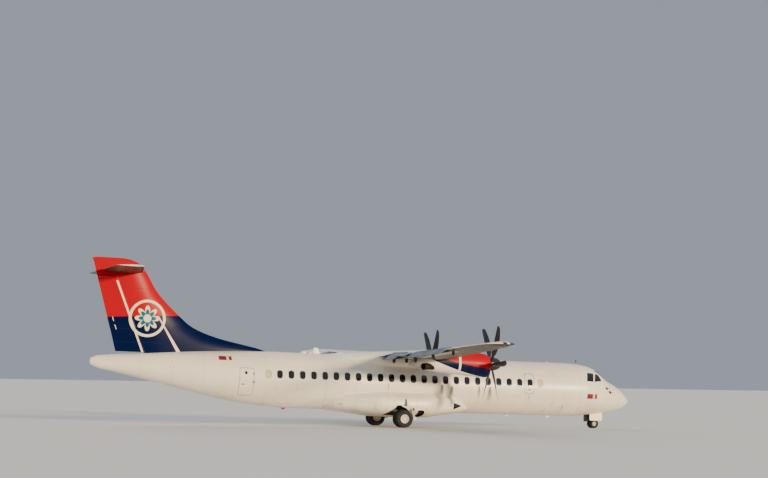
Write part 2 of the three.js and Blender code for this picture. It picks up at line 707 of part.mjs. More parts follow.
// Adds the rudder, the fin and the tail cone, and gives back the fin's cap with the pin's bore.
function buildRudder(finBody, tailCone) {
  const hinge = [at(RUDDER.low[1], 0, RUDDER.low[0]), at(RUDDER.high[1], 0, RUDDER.high[0])];
  const frame = rudderFrame(...hinge);
  const length = hinge[0].distanceTo(hinge[1]);
  const slope = (RUDDER.radiusHigh - RUDDER.radiusLow) / length;
  const spare = 600;
  const up = (y) => new THREE.Vector3(0, y, 0);
  const round = (gap) => bar(up(-spare), up(length + spare),
    RUDDER.radiusLow - slope * spare + gap, RUDDER.radiusHigh + slope * spare + gap, 40);
  const behind = new THREE.BoxGeometry(2600, length + 2 * spare, 1200).translate(-1300, length / 2, 0);
  const band = (margin) =>
    inFrame(block(20000, 29000, -800, 800, RUDDER.low[0] - margin, RUDDER.high[0] + margin), frame);
  const whole = inFrame(finBody, frame);
  const shaft = bar(up(-RUDDER_PIN_LOW), up(length + RUDDER_PIN_HIGH), RUDDER_PIN, RUDDER_PIN, AXLE_SIDES);
  const surface = common(common(whole, join(round(0), behind)), band(0));
  addPiece('rudder', join(surface, shaft), 'navy_paint', frame);
  const room = common(join(round(CLEARANCE), behind), band(CLEARANCE + 200));
  addPiece('fin', cut(whole, room).applyMatrix4(frame), 'navy_paint');
  const socketEnds = [up(-RUDDER_PIN_LOW - RUDDER_PIN_ROOM), up(length + RUDDER_PIN_HIGH + RUDDER_PIN_ROOM)];
  const socket = bore(...socketEnds, RUDDER_PIN, AXLE_SIDES).applyMatrix4(frame);
  addPiece('tail_cone', cut(tailCone, socket), 'white_paint');
  return cut(loft(FIN_CAP.map((row) => finRing(row))), socket);
}

function buildTailplane(cap) {
  const rows = [TAILPLANE_ROOT, TAILPLANE_TIP, TAILPLANE_END];
  const half = loft(rows.map((row) => wingRing(row, 0, 0)));
  const grownCap = loft(FIN_CAP.map((row) => finRing(row, SEAT)));
  const place = (y) => {
    const row = between(TAILPLANE_ROOT, TAILPLANE_TIP, y);
    return at(row.le + ELEVATOR.chord * row.chord, y, row.height);
  };
  const ends = [ELEVATOR.from, ELEVATOR.to];
  const radii = ends.map((y) => ELEVATOR.radius * between(TAILPLANE_ROOT, TAILPLANE_TIP, y).chord);
  const elevator = splitAtHinge(cut(half, grownCap), ...ends.map(place), radii);
  addPair('elevator', elevator.moving, 'white_paint', elevator.frame);
  addPair('tailplane', elevator.fixed, 'white_paint');
  addPiece('fin_cap', cap, 'red_paint');
}

// Engines, nacelles and propellers

const NACELLE_SIDES = 20;

function nacelleRing([station, top, bottom, half, wide]) {
  return Array.from({ length: NACELLE_SIDES }, (_, i) => {
    const angle = ((i + 0.5) / NACELLE_SIDES) * 2 * Math.PI;
    const rise = Math.cos(angle) > 0 ? top - wide : wide - bottom;
    return at(station, ENGINE_Y + Math.sin(angle) * half, SHAFT_HEIGHT + wide + Math.cos(angle) * rise);
  });
}

// The engine is a plain block of twelve sides, closed in by the nacelle's two halves.
function engineBlock(grow) {
  const { from, length, width, height, drop } = ENGINE_BLOCK;
  const shape = new THREE.CylinderGeometry(1, 1, length + 2 * grow, 12).rotateZ(Math.PI / 2);
  shape.scale(1, width / 2 + grow, height / 2 + grow);
  return shape.translate(-from - length / 2, ENGINE_Y, SHAFT_HEIGHT - drop);
}

function buildNacelles() {
  const wing = wingPiece([wingRow(2000), wingRow(WING_JOINT)], SEAT);
  const shaftAt = (station) => at(station, ENGINE_Y, SHAFT_HEIGHT);
  const shaftRoom = bar(shaftAt(9000), shaftAt(ENGINE_BLOCK.from + 10), SHAFT_RADIUS + 15);
  const hollow = cut(loft(NACELLE.map(nacelleRing)), wing, engineBlock(SEAT), shaftRoom);
  const half = (low, high) => common(hollow, block(9000, 14000, 3000, 5000, low, high));
  const [root, mouth] = EXHAUST_AXIS.map((place) => at(...place));
  const along = (share) => root.clone().lerp(mouth, share);
  addPair('nacelle_upper', half(SHAFT_HEIGHT + SEAT / 2, 2200), 'red_paint');
  const lower = cut(half(0, SHAFT_HEIGHT - SEAT / 2), bar(root, mouth, EXHAUST_RADIUS + SEAT));
  addPair('nacelle_lower', lower, 'white_paint');
  const bored = bar(along(0.12), along(1.05), EXHAUST_BORE);
  addPair('exhaust', cut(bar(along(0.02), along(0.86), EXHAUST_RADIUS), bored), 'dark_metal');
  const { from } = ENGINE_BLOCK;
  const socket = bore(shaftAt(from - 50), shaftAt(from + SHAFT_REACH + 40), SHAFT_RADIUS, SHAFT_SIDES);
  addPair('engine', cut(engineBlock(0), socket), 'dark_metal');
}

// Blade: distance from the shaft, chord, thickness, angle to the disc in degrees, sweep
const BLADE = [
  [220, 110, 100, 62, 0],
  [400, 130, 90, 60, 0],
  [620, 235, 46, 52, 12],
  [950, 290, 32, 42, 22],
  [1350, 285, 22, 33, 6],
  [1700, 245, 15, 27, -34],
  [1900, 190, 10, 24, -72],
  [PROP_RADIUS, 90, 5, 23, -100],
];
const BLADE_SIDES = 6;

// One blade standing up from the shaft. It turns towards starboard at the top.
function bladeGeometry() {
  return loft(BLADE.map(([radius, chord, thickness, degrees, sweep]) => {
    const angle = (degrees * Math.PI) / 180;
    const lead = new THREE.Vector3(Math.sin(angle), -Math.cos(angle), 0);
    const face = new THREE.Vector3(Math.cos(angle), Math.sin(angle), 0);
    return Array.from({ length: BLADE_SIDES }, (_, i) => {
      const turn = ((i + 0.5) / BLADE_SIDES) * 2 * Math.PI;
      return new THREE.Vector3(0, 0, radius)
        .addScaledVector(lead, (Math.cos(turn) * chord) / 2 + sweep)
        .addScaledVector(face, (Math.sin(turn) * thickness) / 2);
    });
  }));
}

function buildPropellers() {
  const middle = (x) => new THREE.Vector3(x, 0, 0);
  const drum = bar(middle(-HUB_LENGTH / 2), middle(HUB_LENGTH / 2), HUB_RADIUS, HUB_RADIUS, 20);
  const shaftEnd = middle(PROP_STATION - ENGINE_BLOCK.from - SHAFT_REACH);
  const shaft = bar(shaftEnd, middle(0), SHAFT_RADIUS, SHAFT_RADIUS, SHAFT_SIDES);
  const blades = Array.from({ length: BLADES }, (_, i) =>
    bladeGeometry().rotateX(((i + 0.5) / BLADES) * 2 * Math.PI));
  const propeller = join(drum, shaft, ...blades);
  const back = HUB_LENGTH / 2 + SEAT;
  const steps = 5;
  const profile = Array.from({ length: steps + 1 }, (_, i) => {
    const share = i / steps;
    const x = back + (PROP_STATION - SPINNER_TIP - HUB_LENGTH / 2) * share;
    return new THREE.Vector2(i === steps ? 0 : HUB_RADIUS * Math.sqrt(1 - share ** 1.8), x);
  });
  const spinner = new THREE.LatheGeometry([new THREE.Vector2(0, back), ...profile], 20);
  spinner.rotateZ(-Math.PI / 2);
  [['left', ENGINE_Y], ['right', -ENGINE_Y]].forEach(([side, y]) => {
    const frame = new THREE.Matrix4().setPosition(at(PROP_STATION, y, SHAFT_HEIGHT));
    addPiece(`propeller_${side}`, propeller.clone(), 'blade_black', frame);
    addPiece(`spinner_${side}`, toGeometry(toSolid(spinner)), 'blade_black', frame);
  });
}

// Landing gear

// A tyre's section from bead to bead: shares of its half width and of its height over the rim
const TYRE_OUTLINE = [[-0.8, 0], [-1, 0.45], [-0.82, 0.86], [-0.4, 1], [0.4, 1], [0.82, 0.86],
  [1, 0.45], [0.8, 0]];

// The radius is measured to the flat sides.
function tyreGeometry({ radius, width }, rimRadius) {
  const rise = radius / Math.cos(Math.PI / WHEEL_SIDES) - rimRadius;
  const outline = TYRE_OUTLINE.map(([across, up]) =>
    new THREE.Vector2(rimRadius + up * rise, (across * width) / 2));
  return toGeometry(toSolid(turned([...outline, outline[0].clone()])));
}

function turned(points) {
  return new THREE.LatheGeometry(points, WHEEL_SIDES, WHEEL_TURN);
}

// A pair of rims on one axle. The tyres sit on the rims with the seating gap.
function rimsGeometry({ width, spacing }, rimRadius, axleRadius) {
  const edge = width / 2 - 15;
  const outline = [[0, -edge], [1, -edge], [1, edge], [0.9, edge], [0.84, edge - 40], [0.45, edge - 65],
    [0, edge - 75]];
  const points = outline.map(([share, along]) => new THREE.Vector2(share * (rimRadius - SEAT), along));
  const rim = toGeometry(toSolid(turned(points)));
  const ends = [-spacing / 2, spacing / 2].map((y) => new THREE.Vector3(0, y, 0));
  const axle = bar(...ends, axleRadius, axleRadius, AXLE_SIDES);
  const outer = rim.clone().translate(0, spacing / 2, 0);
  return join(outer, mirrored(outer), axle);
}

function buildGearFairing() {
  const rings = GEAR_FAIRING.map(([station, half, centre, rise]) =>
    fairingRing(station, half, centre, rise, 0.72));
  const well = plate(WHEEL_WELL.map(([station, height]) => [-station, height]), 1330, 2400);
  const pads = [-950, 950].map((y) => bar(at(11200, y, -1480), at(11200, y, -1600), 60));
  const body = cut(loft(rings), skinBetween(8700, 16400, SEAT), well, mirrored(well));
  addPiece('gear_fairing', join(body, ...pads), 'white_paint');
}

// The main leg comes out of the well, and a trailing arm on its knee carries the two wheels.
function buildMainGear() {
  const wheelY = TRACK / 2;
  const hub = at(MAIN_STATION, wheelY, heightAboveGround(MAIN_STATION, MAIN_TYRE.radius));
  const frame = new THREE.Matrix4().setPosition(hub);
  const acrossHub = (reach) => [hub.clone().setY(wheelY - reach), hub.clone().setY(wheelY + reach)];
  const legTop = WELL_ROOF - SEAT;
  const leg = bar(at(12080, 2030, hub.z + 40), at(12120, 1640, legTop), 62);
  const trimmed = common(leg, block(11000, 13500, 0, 3000, -2200, legTop));
  const arm = block(12060, MAIN_STATION, wheelY - 55, wheelY + 55, hub.z - 50, hub.z + 60);
  const boss = bar(...acrossHub(68), 88);
  const shock = bar(at(12330, wheelY, hub.z + 30), at(12160, 1900, -1180), 40);
  const socket = bore(...acrossHub(200), AXLE_RADIUS, AXLE_SIDES);
  addPair('main_gear_leg', cut(join(trimmed, arm, boss, shock), socket), 'metal');
  addPair('main_wheels', rimsGeometry(MAIN_TYRE, MAIN_RIM, AXLE_RADIUS), 'white_paint', frame);
  const tyre = tyreGeometry(MAIN_TYRE, MAIN_RIM);
  addPair('main_tyre_outer', tyre.clone().translate(0, MAIN_TYRE.spacing / 2, 0), 'tyre', frame);
  addPair('main_tyre_inner', tyre.clone().translate(0, -MAIN_TYRE.spacing / 2, 0), 'tyre', frame);
}

const NOSE_BARREL = { low: -1330, radius: 72 };
const NOSE_PISTON = { top: -1060, radius: 50, sides: 20 };

// The leg's barrel hangs from the bay's roof. The fork's piston turns in it and carries the wheels.
function buildNoseGear(cockpitShell) {
  const { from, to, half, roof } = NOSE_BAY;
  const hub = at(NOSE_STATION, 0, heightAboveGround(NOSE_STATION, NOSE_TYRE.radius));
  const frame = new THREE.Matrix4().setPosition(hub);
  const on = (height) => at(NOSE_STATION, 0, height);
  const barrel = bar(on(NOSE_BARREL.low), on(roof - SEAT), NOSE_BARREL.radius, NOSE_BARREL.radius, 20);
  const brace = bar(at(NOSE_STATION + 20, 0, -1150), at(to - SEAT, 0, -900), 30);
  const trimmed = common(brace, block(1000, to - SEAT, -200, 200, -1500, roof - SEAT));
  const pistonRoom = bore(on(-1400), on(NOSE_PISTON.top + 20), NOSE_PISTON.radius, NOSE_PISTON.sides);
  addPiece('nose_gear_leg', cut(join(barrel, trimmed), pistonRoom), 'metal');

  const above = (height) => new THREE.Vector3(0, 0, height);
  const across = (reach) => [new THREE.Vector3(0, -reach, 0), new THREE.Vector3(0, reach, 0)];
  const { top, radius, sides } = NOSE_PISTON;
  const piston = bar(above(top - hub.z), above(30), radius, radius, sides);
  const foot = new THREE.BoxGeometry(110, 76, 130).translate(0, 0, 30);
  const boss = bar(...across(38), 52);
  const socket = bore(...across(100), NOSE_AXLE_RADIUS, AXLE_SIDES);
  addPiece('nose_gear_fork', cut(join(piston, foot, boss), socket), 'metal', frame);
  addPiece('nose_wheels', rimsGeometry(NOSE_TYRE, NOSE_RIM, NOSE_AXLE_RADIUS), 'white_paint', frame);
  const tyre = tyreGeometry(NOSE_TYRE, NOSE_RIM).translate(0, NOSE_TYRE.spacing / 2, 0);
  addPair('nose_tyre', tyre, 'tyre', frame);

  const door = block(from + 60, to - 260, 352, 370, -1490, -1080);
  addPair('nose_gear_door', cut(door, skinBetween(900, 3100, SEAT)), 'white_paint');
  return cut(cockpitShell, block(from, to, -half, half, -1500, roof));
}

// Cockpit windows: four corners of each pane as station, y and height
const PANES = {
  windscreen: [[1420, 60, 560], [1640, 700, 500], [2150, 640, 960], [1900, 60, 1010]],
  side_window: [[1800, 820, 420], [2740, 1180, 400], [2660, 1000, 850], [2190, 780, 870]],
};
const PANE_DEPTH = 30;

// A pane's prism through the skin, from a depth inside it, with its corners drawn in by a share
function panePrism(corners, shrink, depth) {
  const points = corners.map((corner) => at(...corner));
  const middle = points.reduce((sum, point) => sum.clone().add(point)).multiplyScalar(1 / points.length);
  const normal = points[2].clone().sub(points[0]).cross(points[3].clone().sub(points[1])).normalize();
  if (normal.dot(middle.clone().setX(0)) < 0) normal.negate();
  return loft([-depth, 260].map((offset) =>
    points.map((point) => point.clone().lerp(middle, shrink).addScaledVector(normal, offset))));
}

function buildCockpit(shell) {
  const skin = skinBetween(SECTION_CUTS.radome + SEAT, SECTION_CUTS.cockpit - SEAT);
  const rooms = Object.values(PANES).map((corners) => panePrism(corners, 0, PANE_DEPTH));
  Object.entries(PANES).forEach(([name, corners]) => {
    const pane = common(skin, panePrism(corners, 0.004, PANE_DEPTH - SEAT));
    addPair(name, withoutSlivers(pane), 'glass');
  });
  const glazed = cut(shell, ...rooms, ...rooms.map(mirrored));
  const pad = bar(at(2750, 0, -1240), at(2750, 0, -1300), 45);
  addPiece('cockpit_section', join(withoutSlivers(glazed), pad), 'white_paint');
}

const { cockpitShell, centreShell, tailCone } = buildFuselage();
buildWing();
addPiece('fuselage_centre', buildWingFairing(centreShell), 'white_paint');
buildTailplane(buildRudder(buildFin(), tailCone));
buildNacelles();
buildPropellers();
buildGearFairing();
buildMainGear();
buildCockpit(buildNoseGear(cockpitShell));

export default aircraft;
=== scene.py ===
"""A parked turboprop airliner: its smooth skins, glass, doors, propellers, gear and paint.

Metres. A place on the airframe is a station, which is the distance aft of the nose tip, a
distance y to port, and a height above the fuselage's axis. Pieces are drawn in that frame,
and place() leans them nose down as the aircraft stands on its gear.
"""

import json
import math

import bmesh
import bpy
import numpy as np
from mathutils import Matrix, Vector
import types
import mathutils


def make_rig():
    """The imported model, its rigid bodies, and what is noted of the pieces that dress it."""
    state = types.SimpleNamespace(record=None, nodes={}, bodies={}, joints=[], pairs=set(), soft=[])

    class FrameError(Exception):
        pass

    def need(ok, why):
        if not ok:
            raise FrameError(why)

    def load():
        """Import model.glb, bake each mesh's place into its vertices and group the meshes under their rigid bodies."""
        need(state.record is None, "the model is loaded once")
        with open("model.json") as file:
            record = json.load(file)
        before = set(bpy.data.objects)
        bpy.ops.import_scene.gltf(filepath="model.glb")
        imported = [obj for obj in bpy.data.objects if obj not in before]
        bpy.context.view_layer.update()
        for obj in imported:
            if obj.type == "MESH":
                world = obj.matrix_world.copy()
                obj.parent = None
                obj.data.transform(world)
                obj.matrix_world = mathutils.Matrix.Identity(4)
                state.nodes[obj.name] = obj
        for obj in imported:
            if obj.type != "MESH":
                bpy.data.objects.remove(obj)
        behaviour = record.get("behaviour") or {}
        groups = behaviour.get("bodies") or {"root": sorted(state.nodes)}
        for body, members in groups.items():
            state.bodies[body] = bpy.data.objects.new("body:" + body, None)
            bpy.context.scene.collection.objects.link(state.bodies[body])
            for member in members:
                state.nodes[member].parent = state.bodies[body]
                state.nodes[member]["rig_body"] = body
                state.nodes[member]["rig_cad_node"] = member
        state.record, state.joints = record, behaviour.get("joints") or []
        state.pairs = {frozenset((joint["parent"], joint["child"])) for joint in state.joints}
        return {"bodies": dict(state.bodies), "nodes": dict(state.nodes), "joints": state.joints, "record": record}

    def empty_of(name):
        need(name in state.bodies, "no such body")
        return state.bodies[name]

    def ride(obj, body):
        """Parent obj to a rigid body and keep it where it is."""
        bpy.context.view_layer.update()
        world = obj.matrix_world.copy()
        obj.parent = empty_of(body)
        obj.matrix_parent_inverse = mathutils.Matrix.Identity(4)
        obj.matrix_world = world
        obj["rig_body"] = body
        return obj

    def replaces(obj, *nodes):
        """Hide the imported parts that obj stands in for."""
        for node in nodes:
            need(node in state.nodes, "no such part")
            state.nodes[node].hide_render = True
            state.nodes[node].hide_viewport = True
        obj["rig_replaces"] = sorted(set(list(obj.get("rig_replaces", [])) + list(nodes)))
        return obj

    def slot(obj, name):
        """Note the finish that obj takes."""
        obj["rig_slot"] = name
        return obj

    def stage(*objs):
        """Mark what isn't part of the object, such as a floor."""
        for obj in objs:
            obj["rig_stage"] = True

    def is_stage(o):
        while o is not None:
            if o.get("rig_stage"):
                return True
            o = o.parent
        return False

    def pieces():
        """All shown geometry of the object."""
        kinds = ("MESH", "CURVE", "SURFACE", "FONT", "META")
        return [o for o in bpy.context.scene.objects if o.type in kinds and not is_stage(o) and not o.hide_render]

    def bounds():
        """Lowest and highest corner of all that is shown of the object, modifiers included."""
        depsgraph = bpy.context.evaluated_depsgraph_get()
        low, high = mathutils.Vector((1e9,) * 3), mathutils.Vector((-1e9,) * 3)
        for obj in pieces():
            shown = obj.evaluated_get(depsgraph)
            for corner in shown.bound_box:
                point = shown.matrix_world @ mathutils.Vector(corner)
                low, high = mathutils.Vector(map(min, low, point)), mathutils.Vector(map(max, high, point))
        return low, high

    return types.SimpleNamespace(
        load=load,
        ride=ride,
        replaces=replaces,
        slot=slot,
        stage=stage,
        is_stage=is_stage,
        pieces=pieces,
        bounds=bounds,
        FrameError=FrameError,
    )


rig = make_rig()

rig.load()
cad_box = [list(corner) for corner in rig.bounds()]

# The airframe's frame
NOSE_X = 13.590
NOSE_AXIS_HEIGHT = 1.839
LEAN = 0.017
AIRFRAME = Matrix.Translation((NOSE_X, 0, NOSE_AXIS_HEIGHT)) @ Matrix.Rotation(LEAN, 4, "Y")
SIDES = (("left", 1), ("right", -1))

# Fuselage skin: station, top, bottom, half width, height of the widest line
SKIN = [
    (0, -0.440, -0.500, 0.030, -0.470),
    (0.040, -0.350, -0.590, 0.120, -0.470),
    (0.190, -0.205, -0.715, 0.285, -0.460),
    (0.450, 0.030, -0.865, 0.490, -0.430),
    (0.860, 0.300, -1.000, 0.735, -0.370),
    (1.370, 0.545, -1.110, 0.985, -0.280),
    (1.640, 0.800, -1.155, 1.090, -0.220),
    (1.910, 1.010, -1.190, 1.180, -0.160),
    (2.150, 1.115, -1.215, 1.245, -0.110),
    (2.450, 1.205, -1.240, 1.315, -0.060),
    (2.920, 1.275, -1.280, 1.390, -0.010),
    (3.700, 1.310, -1.310, 1.432, 0),
    (17.600, 1.310, -1.310, 1.432, 0),
    (18.400, 1.310, -1.290, 1.420, 0.010),
    (19.300, 1.300, -1.220, 1.375, 0.040),
    (20.200, 1.285, -1.105, 1.300, 0.090),
    (21.100, 1.255, -0.960, 1.200, 0.150),
    (22.200, 1.210, -0.730, 1.045, 0.230),
    (23.600, 1.125, -0.410, 0.815, 0.350),
    (24.900, 1.020, -0.130, 0.590, 0.440),
    (26.200, 0.895, 0.150, 0.340, 0.520),
    (26.800, 0.835, 0.270, 0.215, 0.550),
    (27.150, 0.705, 0.425, 0.100, 0.570),
]
TAIL_END = 27.150
# The first and last station where the fuselage is straight
BARREL = (3.700, 17.600)
SECTIONS = {
    "radome": (0, 0.860),
    "cockpit_section": (0.860, 3.200),
    "fuselage_front": (3.200, 9.000),
    "fuselage_centre": (9.000, 16.200),
    "fuselage_rear": (16.200, 22.200),
    "tail_cone": (22.200, TAIL_END),
}
AROUND = 96
SEAM = 0.0015

# Doors: first station, last station, sill, head, side
DOORS = {
    "cargo_door": (3.420, 4.695, -0.757, 0.773, 1),
    "passenger_door": (19.760, 20.580, -0.786, 0.960, 1),
    "service_door": (19.750, 20.400, -0.760, 0.480, -1),
}
DOOR_THICKNESS = 0.095
DOOR_POCKET_Y = 0.480
DOOR_GAP = 0.006
DOOR_CORNER = 0.11
STEP_COUNT = 5
STEP_FIRST = 0.260
STEP_PITCH = 0.300
STEP_WIDTH = 0.560
STEP_DEPTH = 0.230
STEP_ROOT = 0.045

# The emergency exits on both sides: first station, last station, sill, head
EXITS = (5.71, 6.18, -0.24, 0.69)
EXIT_CORNER = 0.10

# Cabin windows
WINDOW_LAST = 19.07
WINDOW_PITCH = 0.548
WINDOW_COUNT = 26
WINDOW_HEIGHT = 0.25
WINDOW_SIZE = (0.270, 0.370)
WINDOW_CORNER = 0.11

# Wing: where along the span, leading edge station and height, chord, thickness over chord
WING_JOINT = 4.600
WING_INCIDENCE = 0.035
WING_CAMBER = 0.02
WING_ROOT = (WING_JOINT, 11.050, 1.360, 2.570, 0.18)
WING_TIP = (13.200, 11.720, 1.720, 1.600, 0.13)
FLAPS = {"inner": (1.720, 3.400), "outer": (4.730, 9.300)}
FLAP_DEFLECTION = 0.26
FLAP_HINGE_CHORD = 0.77
FLAP_DROP = 0.11
FLAP_RADIUS = 0.18
AILERON = (9.470, 12.850)
AILERON_CHORD = 0.74
AILERON_RADIUS = 0.056
CLEARANCE = 0.008

# Tailplane and elevators, in the same columns as the wing
TAIL_ROWS = [(0, 24.850, 4.790, 1.950, 0.13), (3.540, 25.530, 4.790, 1.270, 0.10)]
ELEVATOR = (0.300, 3.400)
ELEVATOR_CHORD = 0.66
ELEVATOR_RADIUS = 0.05

# Fin: height, front edge, thickest station, trailing edge, thickness
FIN = [
    (0.880, 18.500, 23.800, 25.960, 0.470),
    (1.330, 18.940, 24.000, 26.090, 0.455),
    (1.570, 19.940, 24.110, 26.155, 0.440),
    (1.770, 20.930, 24.210, 26.210, 0.430),
    (2.060, 21.910, 24.360, 26.295, 0.415),
    (2.350, 22.540, 24.500, 26.380, 0.400),
    (2.890, 23.200, 24.740, 26.535, 0.370),
    (3.500, 23.850, 25.010, 26.710, 0.335),
    (3.950, 24.240, 25.210, 26.840, 0.300),
    (4.480, 24.560, 25.450, 26.995, 0.265),
]
FIN_CAP = [
    (4.481, 24.560, 25.450, 26.995, 0.262),
    (4.800, 24.760, 25.600, 27.085, 0.245),
    (5.130, 25.060, 25.780, 27.180, 0.205),
    (5.290, 25.440, 25.950, 27.260, 0.130),
    (5.355, 25.900, 26.200, 27.100, 0.040),
]
# The cap's last rows, which round it off over the tailplane
FIN_TOP = [
    (5.325, 25.620, 26.030, 27.200, 0.100),
    (5.348, 25.780, 26.100, 27.140, 0.066),
    (5.356, 25.920, 26.200, 27.060, 0.030),
]
FIN_FOOT_EDGE = ((22.640, 1.000), (24.760, 4.600))
RUDDER_LOW = (24.756, 1.060)
RUDDER_HIGH = (26.105, 4.440)
RUDDER_RADII = (0.205, 0.112)

# Engines
ENGINE_Y = 4.050
SHAFT_HEIGHT = 1.050
PROP_STATION = 9.060
PROP_RADIUS = 1.965
HUB_RADIUS = 0.305
HUB_HALF_LENGTH = 0.105
SPINNER_NOSE = 8.550
BLADES = 6
# Nacelle: station, top, bottom, half width, widest height, the heights from the shaft
NACELLE = [
    (9.195, 0.345, -0.570, 0.345, -0.060),
    (9.260, 0.390, -0.615, 0.390, -0.060),
    (9.420, 0.450, -0.640, 0.430, -0.050),
    (9.980, 0.515, -0.615, 0.470, -0.040),
    (10.800, 0.560, -0.545, 0.478, -0.030),
    (11.920, 0.520, -0.455, 0.450, -0.020),
    (12.600, 0.250, -0.320, 0.320, -0.030),
    (12.950, 0.060, -0.255, 0.200, -0.090),
    (13.150, -0.090, -0.215, 0.060, -0.150),
]
EXHAUST_AXIS = ((11.800, 4.160, 0.860), (12.640, 4.490, 0.800))
EXHAUST_RADIUS = 0.155
# Blade: distance from the shaft, chord, thickness, angle to the disc in degrees, sweep
BLADE = [
    (0.220, 0.110, 0.100, 62, 0),
    (0.400, 0.130, 0.090, 60, 0),
    (0.620, 0.235, 0.046, 52, 0.012),
    (0.950, 0.290, 0.032, 42, 0.022),
    (1.350, 0.285, 0.022, 33, 0.006),
    (1.700, 0.245, 0.015, 27, -0.034),
    (1.900, 0.190, 0.010, 24, -0.072),
    (PROP_RADIUS, 0.090, 0.005, 23, -0.100),
]

# Landing gear
MAIN_STATION = 12.650
MAIN_TYRE = {"radius": 0.415, "width": 0.254, "spacing": 0.420, "rim": 0.205, "axle": 0.042}
TRACK = 4.100
NOSE_STATION = 1.882
NOSE_TYRE = {"radius": 0.222, "width": 0.180, "spacing": 0.290, "rim": 0.105, "axle": 0.024}
# Gear fairing: station, half width, centre height, half height
GEAR_FAIRING = [
    (8.950, 0.900, -0.900, 0.340),
    (9.550, 1.290, -0.900, 0.450),
    (10.480, 1.640, -0.920, 0.565),
    (11.240, 1.850, -0.945, 0.640),
    (12.650, 1.930, -0.950, 0.645),
    (13.710, 1.900, -0.950, 0.625),
    (14.360, 1.780, -0.945, 0.550),
    (15.000, 1.560, -0.935, 0.490),
    (15.680, 1.240, -0.925, 0.440),
    (16.150, 0.850, -0.920, 0.340),
]
WHEEL_WELL = [(13.740, -1.700), (12.960, -1.120), (12.880, -1.010), (11.960, -1.010), (11.880, -1.700)]
# Wing fairing: station, half width, top
WING_FAIRING = [
    (9.700, 0.300, 1.335),
    (10.300, 0.760, 1.430),
    (11.000, 1.180, 1.520),
    (11.900, 1.330, 1.585),
    (12.900, 1.330, 1.550),
    (13.900, 1.150, 1.480),
    (15.000, 0.760, 1.385),
    (15.700, 0.300, 1.330),
]
NOSE_BAY = (1.480, 2.480, 0.320, -0.760)


# Shader nodes


def srgb(code):
    """A colour from its web code, such as f1ede3."""
    values = [int(code[i:i + 2], 16) / 255 for i in (0, 2, 4)]
    return (*[v / 12.92 if v <= 0.04045 else ((v + 0.055) / 1.055) ** 2.4 for v in values], 1)


def arithmetic(operation, swapped=False):
    """A way for an output to meet another output or a number in a Math node."""
    def apply(self, other):
        return self.wiring.math(operation, *((other, self) if swapped else (self, other)))
    return apply


class Output:
    """A shader node's output, which is written in sums as a number is."""

    __add__ = __radd__ = arithmetic("ADD")
    __sub__, __rsub__ = arithmetic("SUBTRACT"), arithmetic("SUBTRACT", swapped=True)
    __mul__ = __rmul__ = arithmetic("MULTIPLY")
    __truediv__ = arithmetic("DIVIDE")
    larger, smaller = arithmetic("MAXIMUM"), arithmetic("MINIMUM")

    def __init__(self, wiring, socket):
        self.wiring, self.socket = wiring, socket

    def __abs__(self):
        return self.wiring.math("ABSOLUTE", self)

    def __round__(self):
        return self.wiring.math("ROUND", self)

    def steps(self, low, high, start=0.0, end=1.0):
        """Goes smoothly from start to end as this goes from low to high."""
        values = {"Value": self, "From Min": low, "From Max": high, "To Min": start, "To Max": end}
        return self.wiring.add("ShaderNodeMapRange", values, interpolation_type="SMOOTHSTEP")

    def fades(self, low, high):
        return self.steps(low, high, 1.0, 0.0)

    def within(self, low, high, soft):
        """1 between two values, with soft edges."""
        return self.steps(low - soft, low + soft) * self.fades(high - soft, high + soft)


class Wiring:
    """Adds shader nodes to a tree. An input is a plain value or another node's output."""

    def __init__(self, tree):
        self.tree = tree

    def feed(self, socket, value):
        if isinstance(value, Output):
            self.tree.links.new(value.socket, socket)
        else:
            socket.default_value = value

    def add(self, kind, inputs=None, output=0, **settings):
        """Adds a node and gives back one of its outputs, by number or name, or all of them."""
        node = self.tree.nodes.new(kind)
        for name, value in settings.items():
            setattr(node, name, value)
        for key, value in (inputs or {}).items():
            self.feed(node.inputs[key], value)
        if output == "all":
            return [Output(self, socket) for socket in node.outputs]
        return Output(self, node.outputs[output])

    def math(self, operation, *values, clamp=False):
        return self.add("ShaderNodeMath", dict(enumerate(values)), operation=operation, use_clamp=clamp)

    def blend(self, factor, first, second, kind="MIX"):
        inputs = {0: factor, 6: first, 7: second}
        return self.add("ShaderNodeMix", inputs, 2, data_type="RGBA", blend_type=kind)

    def layers(self, colour, *layers):
        """Lays a tint over a colour where a mask says, one after another."""
        for mask, tint in layers:
            colour = self.blend(mask, colour, tint)
        return colour

    def noise(self, place, scale, detail=3.0, roughness=0.5):
        values = {"Vector": place, "Scale": scale, "Detail": detail, "Roughness": roughness}
        return self.add("ShaderNodeTexNoise", values)

    def parts(self, vector):
        return self.add("ShaderNodeSeparateXYZ", {"Vector": vector}, "all")

    def point(self, x, y, z):
        return self.add("ShaderNodeCombineXYZ", {"X": x, "Y": y, "Z": z})

    def length(self, vector):
        return self.add("ShaderNodeVectorMath", {0: vector}, "Value", operation="LENGTH")

    def bump(self, height, strength, distance, **inputs):
        inputs.update(Height=height, Strength=strength, Distance=distance)
        return self.add("ShaderNodeBump", inputs, invert="Normal" in inputs)

    def effect(self, group, **inputs):
        """Places a shared effect and gives back its outputs, or its only one."""
        outputs = self.add("ShaderNodeGroup", inputs, "all", node_tree=group)
        return outputs if len(outputs) > 1 else outputs[0]


SOCKETS = {"VALUE": "NodeSocketFloat", "RGBA": "NodeSocketColor", "VECTOR": "NodeSocketVector"}


